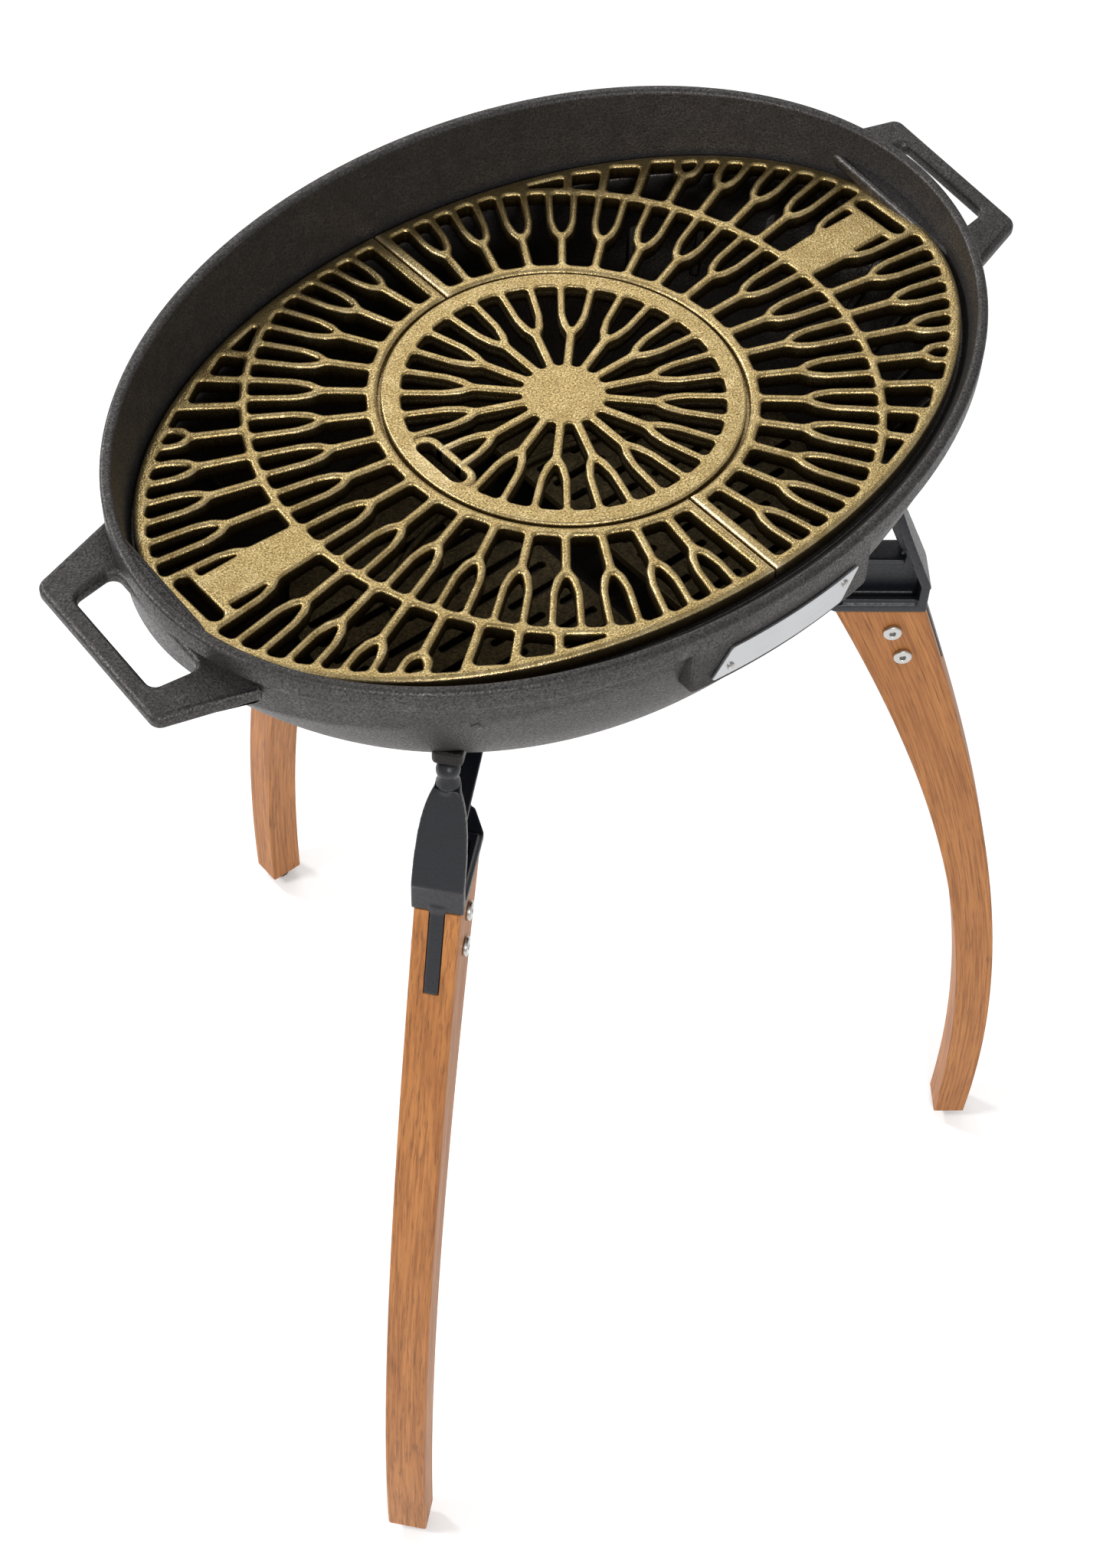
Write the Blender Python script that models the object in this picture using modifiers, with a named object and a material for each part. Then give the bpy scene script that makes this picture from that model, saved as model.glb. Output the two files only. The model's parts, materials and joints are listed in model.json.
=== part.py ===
"""Oval cast-iron charcoal grill on three wooden legs: the design as separate named solids.

Metres, +Z up. X runs along the handles, -Y is the front with the name plate. The model is laid out about
the bowl's upright axis, and the last step moves the whole assembly so that its footprint is centred on Z.
"""
import math

import bmesh
import bpy
from mathutils import Matrix, Vector

# Overall sizes
COOK_HEIGHT = 0.800  # floor to the top of the cooking grates
RIM_LENGTH = 0.573  # outside of the bowl's collar along X
RIM_WIDTH = 0.384  # outside of the bowl's collar along Y

# Bowl
RIM_RISE = 0.0235  # rim crest above the cooking surface, at the bowl's middle
RIM_TILT = math.radians(7.9)  # the rim rises towards the back
LIP_WIDTH = 0.0095
COLLAR_HEIGHT = 0.0140
COLLAR_STEP = 0.0035
SEAT_INSET = 0.0127  # collar outside to the wall beside the grates
LEDGE_WIDTH = 0.0088
LEDGE_HEIGHT = 0.0060
BOWL_DEPTH = 0.1460  # cooking surface to the underside
BOWL_WALL = 0.0065
END_DRAFT, END_CURVE = 0.0707, 0.0790  # how far the ends lean and curve in
SIDE_DRAFT, SIDE_CURVE = 0.0234, 0.0702
BOWL_SEGMENTS, BOWL_RINGS = 48, 6

# Handles, cast with the bowl
HANDLE_REACH = 0.0355
HANDLE_TIP_WIDTH, HANDLE_ROOT_WIDTH = 0.106, 0.136
HANDLE_BAR, HANDLE_ARM, HANDLE_HOLE_FLARE = 0.0115, 0.0180, 0.0035
HANDLE_THICKNESS = 0.0095
HANDLE_DROP = 0.0200  # rim crest to the handle's upper face

# Grates
GRATE_THICKNESS = 0.0100
GRATE_CLEARANCE = 0.0023
OUTER_BAR, SPLIT_BAR, RING_BAR, MID_BAR = 0.0068, 0.0063, 0.0066, 0.0052
SPLIT_GAP = 0.0016
MID_RING_RADIUS = 0.1830
CENTRE_RADIUS, CENTRE_BAND = 0.1050, 0.0114
HUB_RADIUS = 0.0245
RING_GAP = 0.0018
STEP_THICKNESS = 0.0048  # centre grate's flange, and the ring step below it
STEP_WIDTH = 0.0068
STEM_WIDTH, PRONG_WIDTH = 0.0054, 0.0045
CENTRE_STEMS, HALF_STEMS = 16, 17
RING_PITCH = math.radians(10.0)
OUTER_PITCH = math.radians(6.5)
CENTRE_STEM_LENGTH, RING_STEM_LENGTH, OUTER_STEM_LENGTH = 0.0275, 0.0245, 0.0275
ARCH_LENGTH = 0.0170  # along a prong, from the fork to where it runs straight
LEAST_WINDOW = 0.0070
SLOT_LENGTH, SLOT_WIDTH, SLOT_WALL = 0.0380, 0.0095, 0.0058
CENTRE_SLOT_INSET = 0.0105  # centre grate's edge to its slot

# Charcoal plates
PLATE_DROP = 0.1118  # cooking surface to the plates' upper face
PLATE_CLEARANCE = 0.0050  # to the bowl's wall
PLATE_THICKNESS = 0.0060
PLATE_GAP = 0.0310
PLATE_SLOT_LENGTH, PLATE_SLOT_WIDTH = 0.0400, 0.0046
PLATE_SLOTS_BACK = 0.0500  # no slots further back than this
PLATE_SLOT_PITCH_X, PLATE_SLOT_PITCH_Y = 0.0530, 0.0156
PLATE_MARGIN = 0.0085
PLATE_FOOT_RADIUS = 0.0046
PLATE_FEET = ((0.27, 0.6), (0.27, -0.6), (0.70, 0.0))  # shares of the bowl floor's half length and half width

# Name plate
PANEL_WIDTH = 0.134
PANEL_TOP, PANEL_BOTTOM = -0.0100, -0.0520  # below the cooking surface
PANEL_INSET = 0.0005  # panel face behind the collar's
BADGE_DROP = 0.0330
BADGE_LENGTH, BADGE_HEIGHT, BADGE_THICKNESS = 0.110, 0.0200, 0.0016
BADGE_STEPS = 8
BADGE_SLANT = 0.0130
RIVET_RADIUS, RIVET_INSET, RIVET_OFFSET = 0.0024, 0.0125, 0.0042

# Legs
LEG_ANGLE = math.radians(39.0)  # way the front legs face, measured from the X axis
LEG_OFFSET = 0.0239  # the front legs' planes pass this far behind the bowl's axis
FOOT_RADIUS = 0.3387  # from a leg's station to its foot's centre
LEG_THICKNESS = 0.0280
LEG_TOP_WIDTH, LEG_FOOT_WIDTH = 0.0582, 0.0240
LEG_BELOW_BOWL = 0.0480  # bowl's underside down to the leg's top
LEG_BULGE_TOP, LEG_BULGE_FOOT = 0.0530, 0.0130
LEG_STEPS = 12

# Brackets
WEB_THICKNESS = 0.0090
SHELF_WIDTH, SHELF_THICKNESS = 0.0310, 0.0062
SHELF_LENGTH = 0.0760
ARM_TOP_WIDTH, ARM_THICKNESS = 0.0150, 0.0060
ARM_LEAN = 0.0245
PAD_RADIUS, PAD_THICKNESS, PAD_PLACE = 0.0145, 0.0110, 0.0730
BOSS_HEIGHT = 0.0050
FIN_LENGTH = 0.0550
FIN_STEPS = 4
FIN_SETBACK = 0.0180  # wood left between the fin and the leg's inner edge
FIN_PROUD = 0.0010
STUD_RADIUS, STUD_HEIGHT, STUD_NECK = 0.0070, 0.0190, 0.0050
LUG_WIDTH, LUG_HEIGHT, LUG_OVERHANG = 0.0180, 0.0110, 0.0045
STUD_DROP = 0.0925  # cooking surface to the lug's underside

# Fasteners and feet
BOLT_HEAD_RADIUS, BOLT_HEAD_HEIGHT = 0.0061, 0.0026
BOLT_RADIUS, SLEEVE_RADIUS = 0.0026, 0.0038
BOLT_DROPS = (0.0187, 0.0415)  # below the leg's top
BOLT_SHARE = 0.54  # of the leg's width, from its inner edge
HEX_ACROSS, HEX_DEPTH = 0.0040, 0.0018
PAD_BOLT_RADIUS, PAD_BOLT_HEAD, PAD_BOLT_HEAD_HEIGHT, PAD_BOLT_BITE = 0.0039, 0.0065, 0.0050, 0.0075
GLIDE_RADIUS, GLIDE_HEIGHT, GLIDE_STUD, GLIDE_STUD_LENGTH = 0.0088, 0.0045, 0.0030, 0.0180
SOLE_RADIUS, SOLE_HEIGHT = 0.0080, 0.0040

SMOOTH_BELOW = math.radians(35.0)  # faces that meet at less than this are shaded as one surface
GAP = 0.0003  # between pieces that touch
OVERRUN = 0.0200  # how far a cutter runs past what it cuts

half_length, half_width = RIM_LENGTH / 2, RIM_WIDTH / 2
seat_a, seat_b = half_length - SEAT_INSET, half_width - SEAT_INSET
grate_a, grate_b = seat_a - GRATE_CLEARANCE, seat_b - GRATE_CLEARANCE
leg_top = -BOWL_DEPTH - LEG_BELOW_BOWL
leg_bottom = -COOK_HEIGHT + SOLE_HEIGHT + GLIDE_HEIGHT + 2 * GAP


# ---------------------------------------------------------------- scene, materials and modelling helpers


def clear_scene():
    for item in list(bpy.data.objects):
        bpy.data.objects.remove(item, do_unlink=True)


def make_material(name, colour, roughness, metallic):
    material = bpy.data.materials.new(name)
    material.use_nodes = True
    shader = material.node_tree.nodes["Principled BSDF"]
    shader.inputs["Base Color"].default_value = (*colour, 1.0)
    shader.inputs["Roughness"].default_value = roughness
    shader.inputs["Metallic"].default_value = metallic
    material.diffuse_color = (*colour, 1.0)
    return material


clear_scene()
CAST_IRON = make_material("cast_iron", (0.075, 0.070, 0.068), 0.62, 0.75)
BRONZE = make_material("bronze_cast", (0.330, 0.240, 0.105), 0.45, 0.85)
OAK = make_material("oiled_oak", (0.420, 0.215, 0.090), 0.50, 0.0)
BLACK_CAST = make_material("black_coated_casting", (0.018, 0.019, 0.022), 0.50, 0.3)
STEEL = make_material("stainless_steel", (0.620, 0.610, 0.590), 0.25, 1.0)
PLATE_METAL = make_material("brushed_plate", (0.640, 0.650, 0.660), 0.32, 1.0)
BLACK_PLASTIC = make_material("black_plastic", (0.020, 0.020, 0.020), 0.55, 0.0)

assembly = bpy.data.objects.new("assembly", None)
grill = bpy.data.collections.new("charcoal_grill")
cutters = bpy.data.collections.new("cutters")
cutters.hide_render = True
for group in (grill, cutters):
    bpy.context.scene.collection.children.link(group)
grill.objects.link(assembly)


def add_mesh(name, mesh, material=None, parent=None, matrix=None):
    """A node when it has a material, otherwise a helper for a Boolean."""
    item = bpy.data.objects.new(name, mesh)
    if mesh.polygons:
        mesh.shade_smooth()
        mesh.set_sharp_from_angle(angle=SMOOTH_BELOW)
    if material:
        grill.objects.link(item)
        mesh.materials.append(material)
    else:
        cutters.objects.link(item)
        item.hide_render = True
        item.display_type = "WIRE"
    item.parent = parent or assembly
    item.matrix_local = matrix or Matrix()
    return item


def mesh_from(name, work):
    bmesh.ops.recalc_face_normals(work, faces=work.faces)
    mesh = bpy.data.meshes.new(name)
    work.to_mesh(mesh)
    work.free()
    return mesh


def prism(name, loops, low, high):
    """The outline loops[0] with the other loops as holes, standing from z = low to z = high."""
    curve = bpy.data.curves.new(name, "CURVE")
    curve.dimensions = "2D"
    curve.fill_mode = "BOTH"
    curve.extrude = (high - low) / 2
    for loop in loops:
        spline = curve.splines.new("POLY")
        spline.points.add(len(loop) - 1)
        for point, (x, y) in zip(spline.points, loop):
            point.co = (x, y, 0.0, 1.0)
        spline.use_cyclic_u = True
    source = bpy.data.objects.new(name, curve)
    bpy.context.scene.collection.objects.link(source)
    graph = bpy.context.evaluated_depsgraph_get()
    raw = bpy.data.meshes.new_from_object(source.evaluated_get(graph))
    bpy.data.objects.remove(source)
    work = bmesh.new()
    work.from_mesh(raw)
    bmesh.ops.remove_doubles(work, verts=work.verts, dist=1e-6)
    caps = [face for face in work.faces if len({vert.co.z > 0 for vert in face.verts}) == 1]
    bmesh.ops.beautify_fill(work, faces=caps, edges=list({edge for face in caps for edge in face.edges}))
    bmesh.ops.translate(work, verts=work.verts, vec=(0, 0, (high + low) / 2))
    bpy.data.meshes.remove(raw)
    return mesh_from(name, work)


def upright_prism(name, loops, half):
    """A prism whose outline lies in the X-Z plane, half thick each way along Y."""
    mesh = prism(name, loops, -half, half)
    mesh.transform(Matrix.Rotation(math.pi / 2, 4, "X"))
    return mesh


def cylinder(name, radius, low, high, segments=16, top_radius=None, turn=0.0):
    work = bmesh.new()
    bmesh.ops.create_cone(
        work, cap_ends=True, segments=segments, radius1=radius,
        radius2=radius if top_radius is None else top_radius, depth=high - low,
        matrix=Matrix.Translation((0, 0, (low + high) / 2)) @ Matrix.Rotation(turn, 4, "Z"),
    )
    return mesh_from(name, work)


def box(name, low, high):
    work = bmesh.new()
    size = Vector(high) - Vector(low)
    centre = (Vector(high) + Vector(low)) / 2
    bmesh.ops.create_cube(work, size=1.0, matrix=Matrix.Translation(centre) @ Matrix.Diagonal((*size, 1)))
    return mesh_from(name, work)


def turned(item_name, profile, steps, material, parent, matrix):
    """A solid of revolution about Z from (radius, height) points, bottom to top, that ends on the axis."""
    mesh = bpy.data.meshes.new(item_name)
    points = [(radius, 0, height) for radius, height in reversed(profile)]
    mesh.from_pydata(points, [(i, i + 1) for i in range(len(points) - 1)], [])
    item = add_mesh(item_name, mesh, material, parent, matrix)
    screw = item.modifiers.new("turn", "SCREW")
    screw.axis = "Z"
    screw.steps = screw.render_steps = steps
    screw.use_merge_vertices = True
    screw.merge_threshold = 0.00001
    return item


def combine(item, operation, *tools):
    for tool in tools:
        modifier = item.modifiers.new(f"{operation.lower()} {tool.name}", "BOOLEAN")
        modifier.operation = operation
        modifier.solver = "EXACT"
        modifier.object = tool
    return item


# ---------------------------------------------------------------- plane geometry


def rounded(points, radius, steps=1):
    """The closed outline with each corner replaced by a short arc."""
    outline = []
    count = len(points)
    for i, corner in enumerate(points):
        corner = Vector(corner)
        before = Vector(points[i - 1]) - corner
        after = Vector(points[(i + 1) % count]) - corner
        if min(before.length, after.length) < 1e-7:
            continue
        half_turn = before.angle(after) / 2
        if math.pi / 2 - half_turn < math.radians(9):
            outline.append(corner[:])
            continue
        reach = min(radius / math.tan(half_turn), 0.45 * before.length, 0.45 * after.length)
        start, end = corner + before.normalized() * reach, corner + after.normalized() * reach
        for step in range(steps + 1):
            t = step / steps
            outline.append((start.lerp(corner, t).lerp(corner.lerp(end, t), t))[:])
    return outline


def polar(radius, angle):
    return (radius * math.cos(angle), radius * math.sin(angle))


def oval_radius(a, b, angle):
    return 1 / math.hypot(math.cos(angle) / a, math.sin(angle) / b)


def arc(a, b, start, end, steps):
    """Points on an oval with its steps of the circle's angle equal, both ends included."""
    turns = (start + (end - start) * i / steps for i in range(steps + 1))
    return [(a * math.cos(turn), b * math.sin(turn)) for turn in turns]


def circle(radius, steps):
    return arc(radius, radius, 0, math.tau * (steps - 1) / steps, steps - 1)


def beside(radius, angle, offset):
    """The point at a radius that lies a distance to one side of the ray at this angle."""
    return polar(radius, angle + math.asin(max(-1.0, min(1.0, offset / radius))))


def bezier(p0, p1, p2, p3, steps):
    points = []
    for i in range(steps + 1):
        t = i / steps
        shares = ((1 - t) ** 3, 3 * (1 - t) ** 2 * t, 3 * (1 - t) * t**2, t**3)
        points.append(tuple(sum(s * v for s, v in zip(shares, values)) for values in zip(p0, p1, p2, p3)))
    return points


# ---------------------------------------------------------------- grates


def stem_window(low_angle, high_angle, spread, start, fork, end, low_wall=None, high_wall=None):
    """Opening between two neighbouring forks: it narrows where their prongs spread towards each other.

    end gives the outer limit at an angle. A wall is a straight bar on that side, given as the distance
    from its ray, in place of a fork.
    """
    def side(angle, sign, wall):
        if wall is not None:
            reach = end(angle + sign * wall / start)
            return [beside(start, angle, sign * wall), beside(reach, angle, sign * wall)]
        stem, prong = sign * STEM_WIDTH / 2, sign * PRONG_WIDTH / 2
        reach = end(angle + sign * spread)
        if reach < fork + LEAST_WINDOW:
            return [beside(start, angle, stem), beside(reach, angle, stem)]
        straight = min(fork + ARCH_LENGTH, (fork + reach) / 2)
        return [
            beside(start, angle, stem),
            beside(fork, angle, stem),
            beside(straight, angle + sign * spread, prong),
            beside(reach, angle + sign * spread, prong),
        ]

    low, high = side(low_angle, 1, low_wall), side(high_angle, -1, high_wall)
    return low + high[::-1]


def fork_window(angle, spread, fork, end):
    """Pointed-arch opening between the two prongs of one fork, or None where there is no room."""
    reach = end(angle)
    tip = fork + PRONG_WIDTH
    if reach < tip + LEAST_WINDOW:
        return None
    straight = min(fork + ARCH_LENGTH, (tip + reach) / 2)
    prong = PRONG_WIDTH / 2

    def side(sign):
        ray = angle + sign * spread
        return [beside(straight, ray, -sign * prong), beside(end(ray), ray, -sign * prong)]

    return [polar(tip, angle)] + side(1) + side(-1)[::-1]


def slot_outline(centre_x, length, width):
    """A round-ended slot that runs along Y."""
    half, radius = (length - width) / 2, width / 2
    ends = []
    for sign, start in ((1, 0.0), (-1, math.pi)):
        for i in range(5):
            x, y = polar(radius, start + i * math.pi / 4)
            ends.append((centre_x + x, sign * half + y))
    return ends


def centre_grate():
    edge = CENTRE_RADIUS - CENTRE_BAND
    pitch = math.tau / CENTRE_STEMS
    spread = pitch / 4
    fork = HUB_RADIUS + CENTRE_STEM_LENGTH
    slot_x = CENTRE_RADIUS - CENTRE_SLOT_INSET - SLOT_WIDTH / 2
    frame_x = slot_x - SLOT_WIDTH / 2 - SLOT_WALL
    frame_half = SLOT_LENGTH / 2 + SLOT_WALL

    def end(angle):
        across = -math.cos(angle)
        if across > 0 and abs(edge * math.sin(angle)) < frame_half + PRONG_WIDTH:
            return min(edge, frame_x / across)
        return edge

    windows = [slot_outline(-slot_x, SLOT_LENGTH, SLOT_WIDTH)]
    for i in range(CENTRE_STEMS):
        angle = i * pitch
        windows.append(stem_window(angle, angle + pitch, spread, HUB_RADIUS, fork, end))
        windows.append(fork_window(angle, spread, fork, end))
    loops = [circle(CENTRE_RADIUS, 64)] + [w for w in windows if w]
    grate = add_mesh("centre_grate", prism("centre_grate", loops, -GRATE_THICKNESS, 0), BRONZE)
    step = [circle(CENTRE_RADIUS + OVERRUN, 64), circle(CENTRE_RADIUS - STEP_WIDTH, 64)]
    below = prism("centre_step", step, -GRATE_THICKNESS - OVERRUN, -STEP_THICKNESS)
    return combine(grate, "DIFFERENCE", add_mesh("centre_step", below))


def half_grate_loops():
    """The right-hand cooking grate seen from above: its outline, then its windows."""
    quarter = math.pi / 2
    ring_inside = CENTRE_RADIUS + RING_GAP
    ring_outside = ring_inside + RING_BAR
    bar_a, bar_b = grate_a - OUTER_BAR, grate_b - OUTER_BAR
    mid_inside, mid_outside = MID_RING_RADIUS - MID_BAR / 2, MID_RING_RADIUS + MID_BAR / 2

    def bar(angle):
        return oval_radius(bar_a, bar_b, angle)

    def ring_end(angle):
        return min(mid_inside, bar(angle))

    split = SPLIT_GAP / 2
    step_inside = CENTRE_RADIUS - STEP_WIDTH + RING_GAP
    outer_turn = math.acos(split / grate_a)
    inner_turn = math.acos(split / step_inside)
    outline = arc(grate_a, grate_b, -outer_turn, outer_turn, 40)
    outline += arc(step_inside, step_inside, inner_turn, -inner_turn, 28)

    windows = []
    fork = ring_outside + RING_STEM_LENGTH
    spread = RING_PITCH / 4
    last = (HALF_STEMS - 1) / 2
    for i in range(HALF_STEMS + 1):
        low = (i - 1 - last) * RING_PITCH
        low_wall = split + SPLIT_BAR if i == 0 else None
        high_wall = split + SPLIT_BAR if i == HALF_STEMS else None
        low_angle = -quarter if i == 0 else low
        high_angle = quarter if i == HALF_STEMS else low + RING_PITCH
        windows.append(stem_window(low_angle, high_angle, spread, ring_outside, fork, ring_end,
                                   low_wall, high_wall))
        if i:
            windows.append(fork_window(low, spread, fork, ring_end))
    windows += outer_windows(bar, mid_outside)
    return [outline] + [w for w in windows if w]


def outer_windows(bar, start):
    """Windows between the middle ring and the outer bar, with the pad and lifting slot on the X axis."""
    fork = start + OUTER_STEM_LENGTH
    spread = OUTER_PITCH / 4
    slot_x = grate_a - OUTER_BAR - SLOT_WIDTH / 2 - GAP
    pad_end = slot_x - SLOT_WIDTH / 2 - SLOT_WALL
    windows = [slot_outline(slot_x, SLOT_LENGTH, SLOT_WIDTH)]
    angle = OUTER_PITCH / 2
    while bar(angle + OUTER_PITCH) > start + LEAST_WINDOW:
        for sign in (1, -1):
            low, high = sorted((sign * angle, sign * (angle + OUTER_PITCH)))
            windows.append(stem_window(low, high, spread, start, fork, bar))
            if angle > OUTER_PITCH / 2:
                windows.append(fork_window(sign * angle, spread, fork, bar))
        angle += OUTER_PITCH
    for sign in (1, -1):
        windows.append(pad_window(sign, fork, spread, start, pad_end))
        windows.append(last_window(sign, angle, start, bar))
    return windows


def pad_window(sign, fork, spread, start, pad_end):
    """Small opening between the flat pad and the prong beside it."""
    pad_side = start * math.sin(OUTER_PITCH / 2) + STEM_WIDTH / 2
    prong_angle = OUTER_PITCH / 2 + spread
    if pad_end < fork + PRONG_WIDTH + LEAST_WINDOW:
        return None
    straight = min(fork + ARCH_LENGTH, (fork + pad_end) / 2)
    inner = beside(straight, prong_angle, -PRONG_WIDTH / 2)
    top = pad_end * math.tan(prong_angle) - PRONG_WIDTH / 2
    corners = [(fork + PRONG_WIDTH, pad_side), inner, (pad_end, top), (pad_end, pad_side)]
    return [(x, sign * y) for x, y in corners[::sign]]


def last_window(sign, angle, start, bar):
    """The tapering opening after the last stem, where the outer bar closes on the middle ring."""
    close = angle
    step = math.radians(0.25)
    while bar(close + step) > start + PRONG_WIDTH / 2 and close < math.pi / 2 - step:
        close += step
    first = angle + STEM_WIDTH / 2 / start
    if close < first + math.radians(2):
        return None
    points = arc(start, start, first, close, 2)
    points += [polar(bar(ray), ray) for ray in (close, (close + first) / 2, first)]
    return [(x, sign * y) for x, y in points[::sign]]


def cooking_grates():
    loops = half_grate_loops()
    seat = cylinder("centre_seat", CENTRE_RADIUS + RING_GAP, -STEP_THICKNESS - GAP, OVERRUN, 64)
    seat = add_mesh("centre_seat", seat)
    for side, name in ((1, "cooking_grate_right"), (-1, "cooking_grate_left")):
        sided = [[(side * x, y) for x, y in loop[::side]] for loop in loops]
        grate = add_mesh(name, prism(name, sided, -GRATE_THICKNESS, 0), BRONZE)
        combine(grate, "DIFFERENCE", seat)


# ---------------------------------------------------------------- bowl


def wall_inset(share):
    """How far the wall leans in from the collar, at the ends and at the sides, for a share of the depth."""
    curve = 1 - math.sqrt(max(0.0, 1 - share * share))
    return END_DRAFT * share + END_CURVE * curve, SIDE_DRAFT * share + SIDE_CURVE * curve


def loft(name, stations):
    """A closed solid through ovals given as (half length, half width, height, tilt)."""
    work = bmesh.new()
    rings = []
    for a, b, height, tilt in stations:
        shear = Matrix(((a, 0, 0, 0), (0, b, 0, 0), (0, b * math.tan(tilt), 1, height), (0, 0, 0, 1)))
        ring = bmesh.ops.create_circle(work, segments=BOWL_SEGMENTS, radius=1.0, matrix=shear)["verts"]
        rings.append(ring)
    for ring, following in zip(rings, rings[1:]):
        edges = {e for v in ring for e in v.link_edges if e.other_vert(v) in ring}
        edges |= {e for v in following for e in v.link_edges if e.other_vert(v) in following}
        bmesh.ops.bridge_loops(work, edges=list(edges))
    for ring in (rings[0], rings[-1]):
        work.faces.new(ring)
    return mesh_from(name, work)


def wall_stations(inward, bottom, limit_a=1.0, limit_b=1.0):
    """Ovals down the bowl's wall to its flat bottom, moved inward by a wall thickness."""
    top_drop = -GRATE_THICKNESS - LEDGE_HEIGHT
    stations = []
    for i in range(1, BOWL_RINGS + 1):
        share = math.sin(i / BOWL_RINGS * math.pi / 2)
        end, side = wall_inset(share)
        a = half_length - COLLAR_STEP - inward - end
        b = half_width - COLLAR_STEP - inward - side
        stations.append((min(a, limit_a), min(b, limit_b), top_drop + (bottom - top_drop) * share, 0.0))
    return stations


def wall_reach(station, depth):
    """From a leg's station outwards to the outside of the wall at a depth below the cooking surface."""
    top_drop = GRATE_THICKNESS + LEDGE_HEIGHT
    end, side = wall_inset(min(1.0, (depth - top_drop) / (BOWL_DEPTH - top_drop)))
    a, b = half_length - COLLAR_STEP - end, half_width - COLLAR_STEP - side
    angle = station.rotation_euler.z
    way = Vector((math.cos(angle) / a, math.sin(angle) / b))
    start = Vector((station.location.x / a, station.location.y / b))
    lean = way.dot(start)
    outside = way.length_squared * (1 - start.length_squared)
    return (math.sqrt(lean**2 + outside) - lean) / way.length_squared


def inner_wall(depth):
    """Half length and half width inside the bowl at a depth below the cooking surface."""
    top_drop = GRATE_THICKNESS + LEDGE_HEIGHT
    end, side = wall_inset(min(1.0, (depth - top_drop) / (BOWL_DEPTH - BOWL_WALL - top_drop)))
    return half_length - COLLAR_STEP - BOWL_WALL - end, half_width - COLLAR_STEP - BOWL_WALL - side


def fire_bowl():
    crest, tilt = RIM_RISE, RIM_TILT
    soft = LIP_WIDTH * 0.22
    outside = [
        (half_length - LIP_WIDTH, half_width - LIP_WIDTH, crest - soft, tilt),
        (half_length - LIP_WIDTH / 2, half_width - LIP_WIDTH / 2, crest, tilt),
        (half_length - soft, half_width - soft, crest - soft, tilt),
        (half_length, half_width, crest - 2 * soft, tilt),
        (half_length, half_width, crest - COLLAR_HEIGHT, tilt),
        (half_length - COLLAR_STEP, half_width - COLLAR_STEP, crest - COLLAR_HEIGHT - soft, tilt),
        (half_length - COLLAR_STEP - 0.0004, half_width - COLLAR_STEP - 0.0004,
         crest - COLLAR_HEIGHT - 4 * soft, tilt * 0.8),
    ]
    outside += wall_stations(0.0, -BOWL_DEPTH)
    ledge_a, ledge_b = seat_a - LEDGE_WIDTH, seat_b - LEDGE_WIDTH
    ledge_top = -GRATE_THICKNESS - GAP
    inside = [
        (half_length - LIP_WIDTH, half_width - LIP_WIDTH, crest + OVERRUN, tilt),
        (half_length - LIP_WIDTH, half_width - LIP_WIDTH, crest - soft, tilt),
        (seat_a, seat_b, crest - 2.4 * soft, tilt),
        (seat_a, seat_b, ledge_top, 0.0),
        (ledge_a, ledge_b, ledge_top - 0.0002, 0.0),
        (ledge_a, ledge_b, ledge_top - LEDGE_HEIGHT, 0.0),
    ]
    inside += wall_stations(BOWL_WALL, -BOWL_DEPTH + BOWL_WALL, ledge_a - 0.0002, ledge_b - 0.0002)[1:]
    bowl = add_mesh("fire_bowl", loft("fire_bowl", outside), CAST_IRON)
    for side, name in ((1, "right"), (-1, "left")):
        combine(bowl, "UNION", handle_blank(side, name))
    face = [(x, panel_y(x)) for x in spaced(PANEL_WIDTH, BADGE_STEPS)]
    back = [(x, y + OVERRUN) for x, y in face[::-1]]
    panel = prism("badge_panel", [face + back], PANEL_BOTTOM, PANEL_TOP)
    combine(bowl, "UNION", add_mesh("badge_panel", panel))
    for name, station in leg_stations.items():
        combine(bowl, "UNION", bowl_lug(name, station), bowl_boss(name, station))
    combine(bowl, "DIFFERENCE", add_mesh("cavity", loft("cavity", inside)))
    for name, station in leg_stations.items():
        hole = cylinder(f"{name}_boss_hole", PAD_BOLT_RADIUS + GAP,
                        -BOWL_DEPTH - BOSS_HEIGHT - OVERRUN, -BOWL_DEPTH - BOSS_HEIGHT + PAD_BOLT_BITE + GAP)
        combine(bowl, "DIFFERENCE", add_mesh(f"{name}_boss_hole", hole, None, station,
                                             Matrix.Translation((PAD_PLACE, 0, 0))))
    return bowl


def handle_blank(side, name):
    """A flat loop in a plane parallel to the rim. Its inner end is buried in the bowl's wall."""
    tip, root = HANDLE_TIP_WIDTH / 2, HANDLE_ROOT_WIDTH / 2
    reach = half_length + HANDLE_REACH
    buried = seat_a - BOWL_WALL
    flare = half_length * math.sqrt(1 - (root / half_width) ** 2)
    outline = [(buried, -root), (flare, -root), (reach, -tip), (reach, tip), (flare, root), (buried, root)]
    inner_reach = reach - HANDLE_BAR
    inner_tip = tip - HANDLE_ARM
    inner_root = inner_tip + HANDLE_HOLE_FLARE
    hole_x = half_length - COLLAR_STEP * 2
    hole = [(hole_x, -inner_root), (inner_reach, -inner_tip), (inner_reach, inner_tip), (hole_x, inner_root)]
    loops = [rounded(outline, 0.006, 2), rounded(hole, 0.008, 2)]
    loops = [[(side * x, y) for x, y in loop[::side]] for loop in loops]
    top = RIM_RISE - HANDLE_DROP
    mesh = prism(f"handle_{name}", loops, top - HANDLE_THICKNESS, top)
    shear = Matrix()
    shear[2][1] = math.tan(RIM_TILT)
    mesh.transform(shear)
    return add_mesh(f"handle_{name}", mesh)


def spaced(length, steps):
    return [length * (i / steps - 0.5) for i in range(steps + 1)]


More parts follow.
